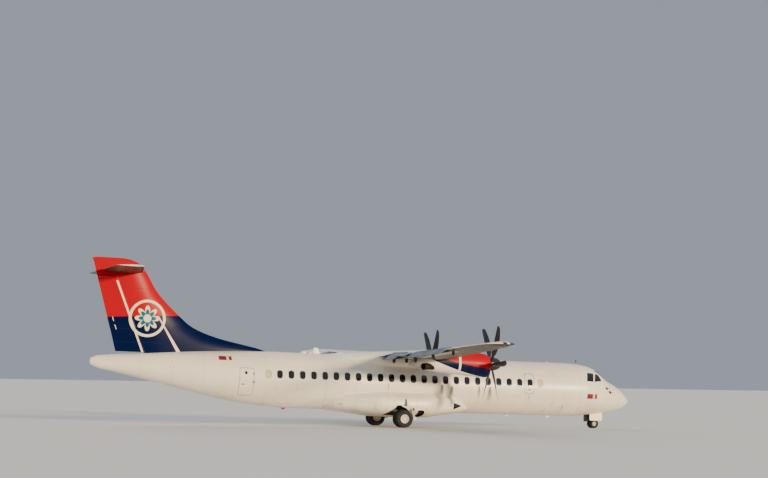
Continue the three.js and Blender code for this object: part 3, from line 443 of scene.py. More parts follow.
def shared_effect(name, make, **inputs):
    """A shader node group. Each input's default is a number, a colour, or None for a place."""
    tree = bpy.data.node_groups.new(name, "ShaderNodeTree")
    for label, default in inputs.items():
        kind = "VECTOR" if default is None else "RGBA" if isinstance(default, tuple) else "VALUE"
        socket = tree.interface.new_socket(label, in_out="INPUT", socket_type=SOCKETS[kind])
        if default is not None:
            socket.default_value = default
    wiring = Wiring(tree)
    given = tree.nodes.new("NodeGroupInput").outputs
    made = make(wiring, *[Output(wiring, given[label]) for label in inputs])
    for label, output in made.items():
        kind = SOCKETS[output.socket.type]
        tree.interface.new_socket(label, in_out="OUTPUT", socket_type=kind)
    ends = tree.nodes.new("NodeGroupOutput").inputs
    for label, output in made.items():
        wiring.feed(ends[label], output)
    return tree


def airframe_place(wiring):
    """Where a point lies on the airframe: its station, side and height, and all three at once."""
    spot = wiring.add("ShaderNodeTexCoord", output="Object")
    aft = wiring.add("ShaderNodeVectorMath", {0: spot, 1: (NOSE_X, 0, NOSE_AXIS_HEIGHT)},
                     operation="SUBTRACT")
    level = wiring.add("ShaderNodeVectorRotate", {"Vector": aft, "Angle": -LEAN},
                       rotation_type="Y_AXIS")
    x, y, z = wiring.parts(level)
    return {"Station": x * -1.0, "Side": y, "Height": z, "Place": level}


def wing_place(rows):
    """Where a point lies on a wing: its distance out, share of the chord, and distance aft."""
    (start, leading, chord), (end, leading_end, chord_end) = rows

    def make(wiring):
        station, side, _, _ = wiring.effect(AIRFRAME_PLACE)
        out = abs(side)
        share = wiring.math("DIVIDE", out - start, end - start, clamp=True)
        behind = station - (share * (leading_end - leading) + leading)
        return {"Out": out, "Share": behind / (share * (chord_end - chord) + chord), "Behind": behind}

    return make


def joint_line(wiring, value, first, spacing, width):
    """Thin lines at even spacing along a value."""
    turns = (value - first) / spacing
    half = width * 0.5
    return {"Line": (abs(turns - round(turns)) * spacing).fades(half * 0.5, half)}


def box_patch(wiring, across, up, left, right, low, high, soft):
    """1 inside a box of two values, with a soft edge."""
    def between(value, start, end):
        return (value - start).steps(soft * -1.0, soft) * (end - value).steps(soft * -1.0, soft)

    return {"Mask": between(across, left, right) * between(up, low, high)}


def frame_line(wiring, across, up, left, right, low, high, corner, width):
    """The outline of a rectangle with round corners, as a line of a given width."""
    def beyond(value, start, end):
        return abs(value - (start + end) * 0.5) - (end - start) * 0.5 + corner

    u, v = beyond(across, left, right), beyond(up, low, high)
    outside = wiring.length(wiring.point(u.larger(0.0), v.larger(0.0), 0.0))
    distance = outside + u.larger(v).smaller(0.0) - corner
    half = width * 0.5
    return {"Line": abs(distance).fades(half * 0.6, half)}


FADED = (0.74, 0.68, 0.60, 1)
SPECKLED = (0.40, 0.36, 0.32, 1)


def paint_coat(wiring, colour, place, fade, gloss):
    """Weathered gloss paint: its faded colour, roughness and the fine waves of a sprayed coat."""
    fine = wiring.noise(place, 5.0, 6.0, 0.65)
    faded = wiring.noise(place, 0.45, 4.0, 0.6).steps(0.35, 0.7) * fade
    dulled = wiring.blend(faded * 0.60, colour, FADED, "MULTIPLY")
    return {"Color": wiring.blend(fine.steps(0.55, 0.8) * 0.14, dulled, SPECKLED, "MULTIPLY"),
            "Roughness": gloss + fine * 0.16 + faded * 0.10,
            "Height": wiring.noise(place, 70.0, 2.0)}


def grime(wiring, place, amount, length):
    """Dirt that runs down a surface in streaks."""
    x, y, z = wiring.parts(place)
    streaks = wiring.noise(wiring.point(x, y, z / length), 3.2, 6.0, 0.7).steps(0.42, 0.78)
    clouds = wiring.noise(place, 0.8, 3.0).steps(0.3, 0.7)
    return {"Mask": wiring.math("MULTIPLY", streaks * clouds, amount, clamp=True)}


def streak(wiring, along, height, middle, top, length, width):
    """One run of dirt down from a place, which fades and widens."""
    below = (top - height) / length
    aside = abs(along - middle) / (width * (below * 0.6 + 0.6))
    return {"Mask": aside.fades(0.2, 1.0) * below.steps(0.0, 0.03) * below.fades(0.15, 1.0)}


def fin_emblem(wiring, across, up, radius):
    """A round flower of eight petals in a ring: its pale parts and its coloured heart."""
    u, v = across / radius, up / radius
    reach = wiring.length(wiring.point(u, v, 0.0))
    petal = abs(wiring.math("COSINE", wiring.math("ARCTAN2", v, u) * 4.0))
    flower = (petal * 0.36 + 0.34 - reach).steps(0.0, 0.03)
    ring, core = reach.within(0.86, 1.0, 0.012), reach.fades(0.33, 0.36)
    heart = (petal * 0.22 + 0.28 - reach).steps(0.0, 0.03) * reach.steps(0.20, 0.23)
    return {"Pale": flower.larger(ring).larger(core), "Heart": heart}


BOX = {"Across": 0.0, "Up": 0.0, "Left": 0.0, "Right": 1.0, "Low": 0.0, "High": 1.0}
AIRFRAME_PLACE = shared_effect("Airframe place", airframe_place)
JOINT_LINE = shared_effect("Joint line", joint_line, Value=0.0, First=0.0, Spacing=1.0, Width=0.01)
BOX_PATCH = shared_effect("Box patch", box_patch, **BOX, Soft=0.01)
FRAME_LINE = shared_effect("Frame line", frame_line, **BOX, Corner=0.1, Width=0.02)
PAINT_COAT = shared_effect("Paint coat", paint_coat, Color=(1, 1, 1, 1), Place=None, Fade=0.5,
                           Gloss=0.3)
GRIME = shared_effect("Grime", grime, Place=None, Amount=1.0, Length=4.0)
STREAK = shared_effect("Streak", streak, Along=0.0, Height=0.0, Middle=0.0, Top=0.0, Length=0.5,
                       Width=0.03)
WING_PLACE = shared_effect("Wing place", wing_place([(y, leading, chord) for y, leading, _, chord, _
                                                     in (WING_ROOT, WING_TIP)]))
TAILPLANE_PLACE = shared_effect("Tailplane place", wing_place([(y, leading, chord) for
                                                               y, leading, _, chord, _ in TAIL_ROWS[:2]]))
FIN_EMBLEM = shared_effect("Fin emblem", fin_emblem, Across=0.0, Up=0.0, Radius=0.8)

WHITE = srgb("f4ebd8")
RED = srgb("b00119")
NAVY = srgb("04123c")
CREAM = srgb("f6e7c2")
TEAL = srgb("12657c")
DIRT = srgb("64523a")
SOOT = srgb("2b2724")
LINE_GREY = srgb("77736a")
# The grey-blue of the flaps and of the wing's strip before them is a painted sky reflection.
SKY_REFLECTION_BLUE = "30475e"


def new_finish(name, **values):
    """A material with a plain shader, set up by its sockets' names: itself, wiring and shader."""
    material = bpy.data.materials.new(name)
    material.use_nodes = True
    shader = material.node_tree.nodes["Principled BSDF"]
    for key, value in values.items():
        shader.inputs[key.replace("_", " ")].default_value = value
    return material, Wiring(material.node_tree), shader


def dress(wiring, shader, colour, roughness, normal):
    for name, value in (("Base Color", colour), ("Roughness", roughness), ("Normal", normal)):
        wiring.feed(shader.inputs[name], value)


def coat(wiring, shader, colour, place, lines, fade=0.5, gloss=0.28):
    """Gives a shader the weathered coat over a colour, with its small waves and sunken lines."""
    paint, roughness, waves = wiring.effect(PAINT_COAT, Color=colour, Place=place, Fade=fade,
                                            Gloss=gloss)
    surface = wiring.bump(waves, 0.25, 0.0004)
    dress(wiring, shader, paint, roughness, wiring.bump(lines, 0.8, 0.006, Normal=surface))


# Small flag patches, plain red with a pale part: first and last station, foot, head
FLAG_PATCHES = ((20.73, 21.34, 0.82, 1.01), (2.25, 2.83, -0.42, -0.18))
FLAG_RED, FLAG_PALE = srgb("7a0d10"), srgb("e9cdb4")
LAP_JOINTS = (-0.86, -0.42, 0.62, 1.02)
# Stains under outlets: station, top, length, width
STAINS = ((10.48, 0.02, 0.85, 0.17), (9.98, -0.03, 0.75, 0.15), (8.58, 0.03, 0.75, 0.11),
          (8.02, 0.00, 0.95, 0.18), (5.95, -0.3, 0.45, 0.04), (4.05, -0.78, 0.4, 0.06),
          (13.2, 0.0, 0.5, 0.05))
DOOR_RING = {"margin": 0.012, "width": 0.036, "strength": 0.75}
WINDOW_RING = {"margin": 0.008, "width": 0.026, "strength": 0.55}


def skin_paint():
    """White, with skin joints, door outlines, window rings, flag patches, dirt and stains."""
    material, wiring, shader = new_finish("Skin paint", Coat_Weight=0.20, Coat_Roughness=0.28)
    station, side, height, spot = wiring.effect(AIRFRAME_PLACE)
    joints = wiring.effect(JOINT_LINE, Value=station, First=3.2, Spacing=1.45, Width=0.014)
    for lap in LAP_JOINTS:
        joints = joints.larger(height.within(lap - 0.003, lap + 0.003, 0.003))
    joints = joints * station.steps(0.8, 1.0)
    layers = [(joints * 0.35, LINE_GREY)]

    def ring(across, up, box, corner, look, where):
        (left, right, low, high), margin = box, look["margin"]
        line = wiring.effect(FRAME_LINE, Across=across, Up=up, Left=left - margin, Right=right + margin,
                             Low=low - margin, High=high + margin, Corner=corner, Width=look["width"])
        layers.append((line * where * look["strength"], LINE_GREY))

    starboard = side.fades(-0.2, 0.2)
    for *box, door_side in DOORS.values():
        ring(station, height, box, DOOR_CORNER, DOOR_RING, starboard if door_side < 0 else 1.0 - starboard)
    ring(station, height, EXITS, EXIT_CORNER, DOOR_RING, 1.0)
    turns = (WINDOW_LAST - station) / WINDOW_PITCH
    half, tall = (size / 2 for size in WINDOW_SIZE)
    row = station.within(WINDOW_LAST - (WINDOW_COUNT - 0.5) * WINDOW_PITCH,
                         WINDOW_LAST + 0.5 * WINDOW_PITCH, 0.01)
    ring((turns - round(turns)) * WINDOW_PITCH, height - WINDOW_HEIGHT, (-half, half, -tall, tall),
         WINDOW_CORNER, WINDOW_RING, row)
    for start, end, foot, head in FLAG_PATCHES:
        for first, last, tint in ((0, 1, FLAG_RED), (0.22, 0.42, FLAG_PALE)):
            left, right = (start + (end - start) * share for share in (first, last))
            patch = wiring.effect(BOX_PATCH, Across=station, Up=height, Left=left, Right=right,
                                  Low=foot, High=head, Soft=0.006)
            layers.append((patch, tint))
    dirt = wiring.effect(GRIME, Place=spot, Amount=height.fades(-1.3, 0.1) * 0.55, Length=5.0)
    on_skin = abs(side).steps(1.434, 1.450, 0.85, 0.0)
    for middle, top, length, width in STAINS:
        dirt = dirt.larger(on_skin * wiring.effect(
            STREAK, Along=station, Height=height, Middle=middle, Top=top, Length=length, Width=width))
    coat(wiring, shader, wiring.layers(WHITE, *layers, (dirt, DIRT)), spot, joints)
    return material


def tail_paint():
    """Red over navy, with painted highlights as pale glints along the rudder hinge and the front spar, tab dashes, the
    emblem and rib lines.
    """
    material, wiring, shader = new_finish("Tail paint and painted glints", Coat_Weight=0.02, Coat_Roughness=0.25,
                                          Specular_IOR_Level=0.05)
    station, _, height, spot = wiring.effect(AIRFRAME_PLACE)

    def beside(start, foot, slope):
        """The distance from a line that starts at a station and a height, and leans aft."""
        return abs(station - ((height - foot) * slope + start))

    red_foot = (station - 26.5) * -0.053 + 2.62
    lean_aft = (RUDDER_HIGH[0] - RUDDER_LOW[0]) / (RUDDER_HIGH[1] - RUDDER_LOW[1])
    # Painted highlights: a pale glint along the rudder's hinge, and a patchy glint along the fin's front spar that
    # widens towards its foot.
    hinge_glint = beside(RUDDER_LOW[0] + 0.03, RUDDER_LOW[1], lean_aft).fades(0.040, 0.050)
    spar_glint = (beside(23.10, 1.10, 0.62) / height.steps(1.0, 2.75, 0.10, 0.035)).fades(0.75, 1.0)
    glint_patches = wiring.noise(spot, 9.0, 4.0, 0.7).steps(0.30, 0.42, 0.45, 1.0)
    dashes = height.within(2.44, 2.64, 0.01).larger(height.within(2.06, 2.27, 0.01))
    pale, heart = wiring.effect(FIN_EMBLEM, Across=station - 24.62, Up=height - 2.62, Radius=0.86)
    ribs = wiring.effect(JOINT_LINE, Value=height, First=1.5, Spacing=0.62, Width=0.010)
    colour = wiring.layers(
        NAVY, ((height - red_foot).steps(-0.008, 0.008), RED),
        (hinge_glint * height.fades(4.28, 4.32), CREAM),
        (spar_glint * height.fades(2.70, 2.78) * glint_patches, CREAM),
        (beside(26.02, 2.05, 0.344).fades(0.012, 0.018) * dashes, CREAM),
        (pale, CREAM), (heart, TEAL), (ribs * 0.18, LINE_GREY))
    coat(wiring, shader, colour, spot, ribs, fade=0.12, gloss=0.16)
    return material


def nacelle_paint():
    """Red over navy over white in rising curves, with a pale band, cowl joints, dirt and soot."""
    material, wiring, shader = new_finish("Nacelle paint", Coat_Weight=0.04, Coat_Roughness=0.2,
                                          Specular_IOR_Level=0.10)
    station, _, height, spot = wiring.effect(AIRFRAME_PLACE)
    aft = station - 9.44

    def above(first, slope, bend):
        return (height - ((aft * bend + slope) * aft + first)).steps(-0.006, 0.006)

    band = wiring.effect(BOX_PATCH, Across=station, Up=height, Left=10.72, Right=10.83, Low=0.66,
                         High=1.70, Soft=0.006)
    joints = wiring.effect(JOINT_LINE, Value=station, First=9.42, Spacing=0.655, Width=0.012)
    joints = joints.larger(height.within(SHAFT_HEIGHT - 0.004, SHAFT_HEIGHT + 0.004, 0.004))
    dirt = wiring.effect(GRIME, Place=spot, Amount=height.steps(0.25, 0.8, 1.0, 0.2) * 0.7, Length=3.0)
    soot = station.steps(11.9, 12.9) * height.within(0.62, 1.0, 0.12) * 0.6
    colour = wiring.layers(WHITE, (above(0.42, 0.132, 0.051), NAVY), (above(0.82, 0.1196, 0.0249), RED),
                           (band, CREAM), (joints * 0.35, LINE_GREY), (dirt, DIRT), (soot, SOOT))
    coat(wiring, shader, colour, spot, joints, fade=0.15)
    return material


def wing_paint(name, group, boots, strip=None):
    """Pale above and painted shade below, with ribs, spars, dirt, ridged de-icing boots and a blue strip of painted
    sky reflection.
    """
    material, wiring, shader = new_finish(name, Coat_Weight=0.05, Coat_Roughness=0.25,
                                          Specular_IOR_Level=0.25)
    spot = wiring.effect(AIRFRAME_PLACE)[3]
    out, share, behind = wiring.effect(group)
    ribs = wiring.effect(JOINT_LINE, Value=out, First=boots[0], Spacing=1.12, Width=0.010)
    joints = ribs.larger(share.within(0.158, 0.162, 0.002)).larger(share.within(0.598, 0.602, 0.002))
    up = wiring.parts(wiring.add("ShaderNodeTexCoord", output="Normal"))[2]
    dirt = wiring.effect(GRIME, Place=spot, Amount=0.35, Length=1.0)
    boot = share.fades(0.070, 0.074) * out.within(*boots, 0.004)
    ridges = wiring.effect(JOINT_LINE, Value=behind, First=0.0, Spacing=0.030, Width=0.012)
    black = wiring.blend(ridges * 0.5, srgb("1b1b1c"), srgb("313133"))
    # The underside is painted shade: faces that look down turn dark brown-grey.
    colour = wiring.layers(srgb("ebe5d6"), (up.fades(-0.80, -0.35), srgb("3f3a33")),
                           (joints * 0.35, LINE_GREY), (dirt, DIRT), (boot, black))
    if strip:
        # Aft of the rear spar along the flaps, the wing takes the grey-blue of a painted sky reflection.
        sky_reflection_mask = share.steps(0.765, 0.770) * out.within(*strip, 0.004)
        colour = wiring.blend(sky_reflection_mask, colour, srgb(SKY_REFLECTION_BLUE))
    coat(wiring, shader, colour, spot, joints.larger(boot * ridges), fade=0.25, gloss=0.34)
    return material


def plain_finish(name, code, roughness, scale=12.0, spread=0.12, bump=0.0006, **values):
    """A finish whose colour and gloss vary a little with a noise, for parts without a livery."""
    material, wiring, shader = new_finish(name, **values)
    pattern = wiring.noise(wiring.effect(AIRFRAME_PLACE)[3], scale, 6.0, 0.6)
    dark, light = ((*[min(1, channel * (1 + change)) for channel in srgb(code)[:3]], 1)
                   for change in (-2.2 * spread, spread))
    dress(wiring, shader, wiring.blend(pattern.steps(0.3, 0.7), dark, light),
          pattern.steps(0.3, 0.7, roughness * 0.85, min(1, roughness * 1.2)),
          wiring.bump(pattern, 0.4, bump))
    return material


GLAZED = {"bump": 0.0, "Coat_Weight": 1.0}
SKIN_PAINT = skin_paint()
TAIL_PAINT_AND_GLINTS = tail_paint()
NACELLE_PAINT = nacelle_paint()
WING_PAINT_AND_SHADE = wing_paint("Wing paint", WING_PLACE, (5.2, 13.12), (1.55, 9.38))
TAILPLANE_PAINT_AND_SHADE = wing_paint("Tailplane paint", TAILPLANE_PLACE, (0.30, 3.45))
FLAP_SKY_REFLECTION = plain_finish("Flap paint", SKY_REFLECTION_BLUE, 0.55, 2.5, 0.05, 0.0003, Specular_IOR_Level=0.12)
LINING = plain_finish("Cabin lining", "cfcbc0", 0.6, 6.0, 0.05)
# Dark primer for wells, bays, bores and the walls of holes, whose darkness is also painted shade.
WELL_PRIMER_AND_SHADE = plain_finish("Well primer and painted shade", "3d3f3a", 0.65, 5.0, 0.2)
WINDOW_FRAME = plain_finish("Window frame", "4e4d49", 0.5, 20.0, 0.06)
# Near-black grey for the flap brackets: painted shade, as they hang in the wing's shade.
BRACKET_SHADE_GREY = plain_finish("Bracket fairing painted shade", "2d2e31", 0.42, 4.0, 0.08)
STEEL = plain_finish("Bare steel", "9fa2a6", 0.32, 30.0, 0.08, Metallic=0.9)
EXHAUST_STEEL = plain_finish("Heated exhaust steel", "3d2f28", 0.45, 5.0, 0.25, Metallic=0.8)
EXHAUST_INSIDE = plain_finish("Sooty exhaust lining", "171513", 0.85, 8.0, 0.2)
# Near black inside the air inlets and outlets: painted shade.
INLET_SHADE = plain_finish("Air inlet painted shade", "141518", 0.7, 8.0, 0.15)
BLADE_BLACK = plain_finish("Blade composite", "2b2d31", 0.42, 9.0, 0.12)
SPINNER_BLACK = plain_finish("Spinner paint", "24262a", 0.30, 7.0, 0.10, Coat_Weight=0.3)
RUBBER = plain_finish("Tyre rubber", "1f1f20", 0.8, 16.0, 0.15, 0.001)
WHEEL_PAINT = plain_finish("Wheel paint", "d9d5c8", 0.4, 14.0, 0.10)
GEAR_PAINT = plain_finish("Gear leg paint", "c5c6c2", 0.38, 12.0, 0.10)
ANTENNA_WHITE = plain_finish("Antenna paint", "efece2", 0.35, 9.0, 0.04)
DARK_FITTING = plain_finish("Dark anodised fitting", "35363a", 0.45, 14.0, 0.10, Metallic=0.4)
SEAL_GREY = plain_finish("Door seal and slot shade", "55544f", 0.7, 14.0, 0.10)
CHROME = plain_finish("Polished piston chrome", "d9dbde", 0.10, 30.0, 0.03, Metallic=1.0)
BRAKE_STEEL = plain_finish("Brake housing steel", "6f6a63", 0.5, 18.0, 0.18, Metallic=0.8)
STEP_TREAD = plain_finish("Step tread", "8a8c8c", 0.6, 40.0, 0.15, 0.002, Metallic=0.3)
COVER_TAN = plain_finish("Window cover paint", "cdbb9b", 0.45, 6.0, 0.06)
LAMP_SMOKED = plain_finish("Smoked lamp glass", "15171c", 0.05, 20.0, 0.03, **GLAZED)
LAMP_CLEAR = plain_finish("Clear lamp glass", "dfe6ea", 0.06, 20.0, 0.03, **GLAZED)
LAMP_RED = plain_finish("Red lamp glass", "b5201a", 0.08, 20.0, 0.06, **GLAZED)
CABIN_GLASS = plain_finish("Cabin window acrylic", "10151b", 0.06, 2.0, 0.10, **GLAZED)
COCKPIT_GLASS = plain_finish("Cockpit glass", "05070a", 0.05, 1.5, 0.10, **GLAZED)


# Places, tables and closed meshes

MIRROR = Matrix.Diagonal((1, -1, 1, 1))
ORIGIN = Vector()


def at(station, y, height):
    return Vector((-station, y, height))


def ground_height(station, above_ground):
    """The height over the fuselage's axis of a place that is given above the ground."""
    return (above_ground - NOSE_AXIS_HEIGHT - math.sin(LEAN) * station) / math.cos(LEAN)


def shift(place):
    return Matrix.Translation(place)


def turn(axis, degrees):
    return Matrix.Rotation(math.radians(degrees), 4, axis)


def frame_of(origin, x, y, z):
    """A frame from its origin and its three axes."""
    return shift(origin) @ Matrix((x, y, z)).transposed().to_4x4()


def facing(place, direction):
    """A frame at a place whose x axis looks along a direction."""
    return shift(place) @ direction.to_track_quat("X", "Z").to_matrix().to_4x4()


def read_table(table, place, column):
    """One column of a table between its rows, with smooth slopes that never overshoot."""
    last = len(table) - 1
    x = [row[0] for row in table]
    y = [row[column] for row in table]
    if place <= x[0]:
        return y[0]
    if place >= x[last]:
        return y[last]
    i = next(k for k in range(last) if place <= x[k + 1])
    slope = [(y[k + 1] - y[k]) / (x[k + 1] - x[k]) for k in range(last)]

    def tangent(k):
        if k in (0, last):
            return slope[min(k, last - 1)]
        before, after = slope[k - 1], slope[k]
        return 0 if before * after <= 0 else 2 * before * after / (before + after)

    width = x[i + 1] - x[i]
    t = (place - x[i]) / width
    value = (2 * t**3 - 3 * t**2 + 1) * y[i] + (3 * t**2 - 2 * t**3) * y[i + 1]
    return value + (t**3 - 2 * t**2 + t) * width * tangent(i) + (t**3 - t**2) * width * tangent(i + 1)


def fine_rows(table, step):
    """The table's rows with smooth rows between them, at most a step apart."""
    places = []
    for (low, *_), (high, *_) in zip(table, table[1:]):
        places += list(np.linspace(low, high, max(1, math.ceil((high - low) / step)), endpoint=False))
    places.append(table[-1][0])
    columns = range(1, len(table[0]))
    return [(place, *(read_table(table, place, column) for column in columns)) for place in places]


def read_all(items, name, kind, size, columns=1):
    """One value or vector of every vertex, face or loop of a mesh."""
    values = np.empty(size * columns, kind)
    items.foreach_get(name, values)
    return values.reshape(-1, columns) if columns > 1 else values


def coordinates(mesh):
    return read_all(mesh.vertices, "co", float, len(mesh.vertices), 3)


def signed_volume(mesh):
    mesh.calc_loop_triangles()
    corners = read_all(mesh.loop_triangles, "vertices", np.int64, len(mesh.loop_triangles), 3)
    a, b, c = coordinates(mesh)[corners].transpose(1, 0, 2)
    return np.einsum("ij,ij->", a, np.cross(b, c)) / 6


def closed_mesh(points, faces, finish=None):
    mesh = bpy.data.meshes.new("body")
    mesh.from_pydata([tuple(point) for point in points], [], faces)
    if signed_volume(mesh) < 0:
        mesh.flip_normals()
    if finish:
        mesh.materials.append(finish)
    return mesh


def loft(rings, finish=None):
    """Joins rings of equal point counts into a closed body."""
    sides = len(rings[0])
    faces = [tuple(range(sides)), tuple(reversed(range((len(rings) - 1) * sides, len(rings) * sides)))]
    for r in range(len(rings) - 1):
        for i in range(sides):
            j = (i + 1) % sides
            faces.append((r * sides + j, r * sides + i, (r + 1) * sides + i, (r + 1) * sides + j))
    return closed_mesh([point for ring in rings for point in ring], faces, finish)


def refinished(mesh, finish):
    """Gives every face of a mesh one finish."""
    mesh.materials.clear()
    mesh.materials.append(finish)
    mesh.polygons.foreach_set("material_index", [0] * len(mesh.polygons))
    return mesh


def link(name, data):
    """A new object in the scene that shows a mesh, a camera or a light."""
    thing = bpy.data.objects.new(name, data)
    bpy.context.scene.collection.objects.link(thing)
    return thing


def combine(operation, base, tools):
    """One boolean after another on a copy of the base, with each tool's finish kept."""
    things = [link("work", mesh) for mesh in (base, *tools)]
    for other in things[1:]:
        step = things[0].modifiers.new("step", "BOOLEAN")
        step.operation = operation
        step.object = other
        step.solver = "MANIFOLD"
        step.material_mode = "TRANSFER"
    graph = bpy.context.evaluated_depsgraph_get()
    result = bpy.data.meshes.new_from_object(things[0].evaluated_get(graph), depsgraph=graph)
    for thing in things:
        bpy.data.objects.remove(thing)
    return result


def cut(base, *tools):
    return combine("DIFFERENCE", base, tools)


def join(base, *tools):
    return combine("UNION", base, tools)


def common(base, *tools):
    return combine("INTERSECT", base, tools)


def to_mesh(whole, materials):
    mesh = bpy.data.meshes.new("body")
    whole.to_mesh(mesh)
    whole.free()
    for material in materials:
        mesh.materials.append(material)
    return mesh


def gather(meshes):
    """Bodies that lie apart, as one mesh."""
    whole = bmesh.new()
    materials = list(dict.fromkeys(material for mesh in meshes for material in mesh.materials))
    for mesh in meshes:
        first = len(whole.faces)
        whole.from_mesh(mesh)
        whole.faces.ensure_lookup_table()
        for face in whole.faces[first:] if mesh.materials else ():
            face.material_index = materials.index(mesh.materials[face.material_index])
    return to_mesh(whole, materials)


def largest(mesh):
    """The biggest of a mesh's separate bodies."""
    whole = bmesh.new()
    whole.from_mesh(mesh)
    left, best = set(whole.verts), []
    while left:
        group, waiting = set(), [next(iter(left))]
        while waiting:
            vertex = waiting.pop()
            if vertex not in group:
                group.add(vertex)
                waiting += [edge.other_vert(vertex) for edge in vertex.link_edges]
        left -= group
        best = max(best, group, key=len)
    bmesh.ops.delete(whole, geom=[v for v in whole.verts if v not in best], context="VERTS")
    return to_mesh(whole, mesh.materials)


def moved(mesh, matrix):
    copy = mesh.copy()
    copy.transform(matrix)
    if matrix.determinant() < 0:
        copy.flip_normals()
    return copy


def squircle(sides, bend=1.0):
    """Directions round a circle, which fill out towards a square as the bend falls below 1."""
    turns = [(k + 0.5) / sides * math.tau for k in range(sides)]
    return [[math.copysign(abs(value) ** bend, value) for value in (math.sin(a), math.cos(a))]
            for a in turns]


def bar(start, end, radius, finish=None, sides=24, end_radius=None):
    along = (end - start).normalized()
    first = along.orthogonal().normalized()
    second = along.cross(first)
    turns = [(i + 0.5) / sides * math.tau for i in range(sides)]
    rings = [[centre + (first * math.cos(a) + second * math.sin(a)) * r for a in turns]
             for centre, r in ((start, radius), (end, radius if end_radius is None else end_radius))]
    return loft(rings, finish)


def cross_bar(centre, half, radius, finish=None, sides=24):
    """A bar across the aircraft."""
    reach = Vector((0, half, 0))
    return bar(centre - reach, centre + reach, radius, finish, sides)


def plate(outline, from_y, to_y, finish=None):
    """A slab whose outline is given as station and height."""
    return loft([[at(station, y, height) for station, height in outline] for y in (from_y, to_y)], finish)


def block(from_station, to_station, from_y, to_y, low, high, finish=None):
    return loft([[at(station, from_y, low), at(station, to_y, low), at(station, to_y, high),
                  at(station, from_y, high)] for station in (from_station, to_station)], finish)


def side_prism(station, height, width, tall, radius, side, near=0.3, far=2.2, finish=None):
    """A rounded box that goes straight out through one side of the aircraft."""
    steps, outline = 6, []
    for corner, (u, v) in enumerate([(1, 1), (-1, 1), (-1, -1), (1, -1)]):
        for i in range(steps + 1):
            angle = (corner + i / steps) * math.pi / 2
            outline.append((u * (width / 2 - radius) + radius * math.cos(angle),
                            v * (tall / 2 - radius) + radius * math.sin(angle)))
    return loft([[at(station - u, side * y, height + v) for u, v in outline] for y in (near, far)], finish)


def lathe(profile, matrix, sides=48, finish=None):
    """Turns a closed profile of radius and x round the x axis. Points at radius 0 are poles."""
    points, faces, rows = [], [], []
    for radius, x in profile:
        if radius < 1e-6:
            rows.append([len(points)] * sides)
            points.append(matrix @ Vector((x, 0, 0)))
            continue
        rows.append(list(range(len(points), len(points) + sides)))
        for i in range(sides):
            angle = i / sides * math.tau
            points.append(matrix @ Vector((x, radius * math.cos(angle), radius * math.sin(angle))))
    pairs = list(zip(rows, rows[1:]))
    if profile[0][0] > 1e-6:
        pairs.append((rows[-1], rows[0]))
    for row, following in pairs:
        for i in range(sides):
            j = (i + 1) % sides
            face = list(dict.fromkeys([row[i], row[j], following[j], following[i]]))
            if len(face) > 2:
                faces.append(face)
    return closed_mesh(points, faces, finish)


SHARP_ANGLE = math.radians(32)
ALONG_SKIN = math.cos(math.radians(14))


def place(name, mesh, slot, nodes=(), body="airframe", shading=None):
    """Makes a piece from a mesh, in the airframe's place, on its body and with its finish slot."""
    mesh.polygons.foreach_set("use_smooth", [True] * len(mesh.polygons))
    if shading:
        normals = shaded(mesh, shading) @ np.array(AIRFRAME.to_3x3()).T
        mesh.transform(AIRFRAME)
        mesh.normals_split_custom_set(normals.tolist())
    else:
        mesh.set_sharp_from_angle(angle=SHARP_ANGLE)
        mesh.transform(AIRFRAME)
    mesh.name = name
    piece = link(name, mesh)
    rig.ride(piece, body)
    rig.slot(piece, slot)
    if nodes:
        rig.replaces(piece, *nodes)


def place_pair(name, mesh, slot, nodes=(), body="airframe", shading=None):
    """Places a mesh to port and its mirror image to starboard. {} in a name stands for the side."""
    for side, own in (("left", mesh.copy()), ("right", moved(mesh, MIRROR))):
        own_nodes = [node.format(side) for node in nodes]
        place(name.format(side), own, slot, own_nodes, body.format(side), shading)


def shaded(mesh, direction):
    """Corner normals that follow a smooth surface where a face lies along it, or else the face."""
    corner_of = read_all(mesh.loops, "vertex_index", np.int64, len(mesh.loops))
    count = read_all(mesh.polygons, "loop_total", np.int64, len(mesh.polygons))
    flat = read_all(mesh.polygons, "normal", float, len(mesh.polygons), 3)
    flat = np.repeat(flat, count, axis=0)
    smooth = direction(coordinates(mesh))[corner_of]
    agreement = np.einsum("ij,ij->i", flat, smooth)
    along = np.abs(agreement) > ALONG_SKIN
    return np.where(along[:, None], smooth * np.sign(agreement)[:, None], flat)


# Fuselage skin

# The skin's table at stations a centimetre apart
FINE = np.linspace(0, TAIL_END, 2716)
SKIN_FINE = np.array([[read_table(SKIN, station, column) for column in range(1, 5)] for station in FINE])


def skin_columns(stations):
    return [np.interp(stations, FINE, SKIN_FINE[:, column]) for column in range(4)]


def skin_ring(station, grow=0.0):
    top, bottom, half, wide = skin_columns(station)
    angle = (np.arange(AROUND) + 0.5) / AROUND * math.tau
    rise = np.where(np.cos(angle) > 0, top - wide + grow, wide - bottom + grow)
    return np.stack([np.full(AROUND, -station), np.sin(angle) * (half + grow),
                     wide + np.cos(angle) * rise], axis=1)


def skin_between(start, end, grow=0.0, finish=None):
    """The fuselage between two stations, closer ringed where it is curved and at its ends."""
    edge = 0.004
    step = 0.4 if BARREL[0] <= start and end <= BARREL[1] else 0.1
    stations = [start, start + edge, end - edge, end, *np.arange(start + 0.1, end - 0.05, step)]
    stations += [row[0] for row in SKIN if start + 2 * edge < row[0] < end - 2 * edge]
    return loft([skin_ring(station, grow) for station in sorted(set(stations))], finish)


def skin_y(station, height):
    top, bottom, half, wide = skin_columns(station)
    rise = top - wide if height > wide else wide - bottom
    return float(half * math.sqrt(max(0, 1 - ((height - wide) / rise) ** 2)))


def skin_height(station, y=0.0, low=False):
    top, bottom, half, wide = skin_columns(station)
    rise = (bottom if low else top) - wide
    return float(wide + rise * math.sqrt(max(0, 1 - (y / half) ** 2)))


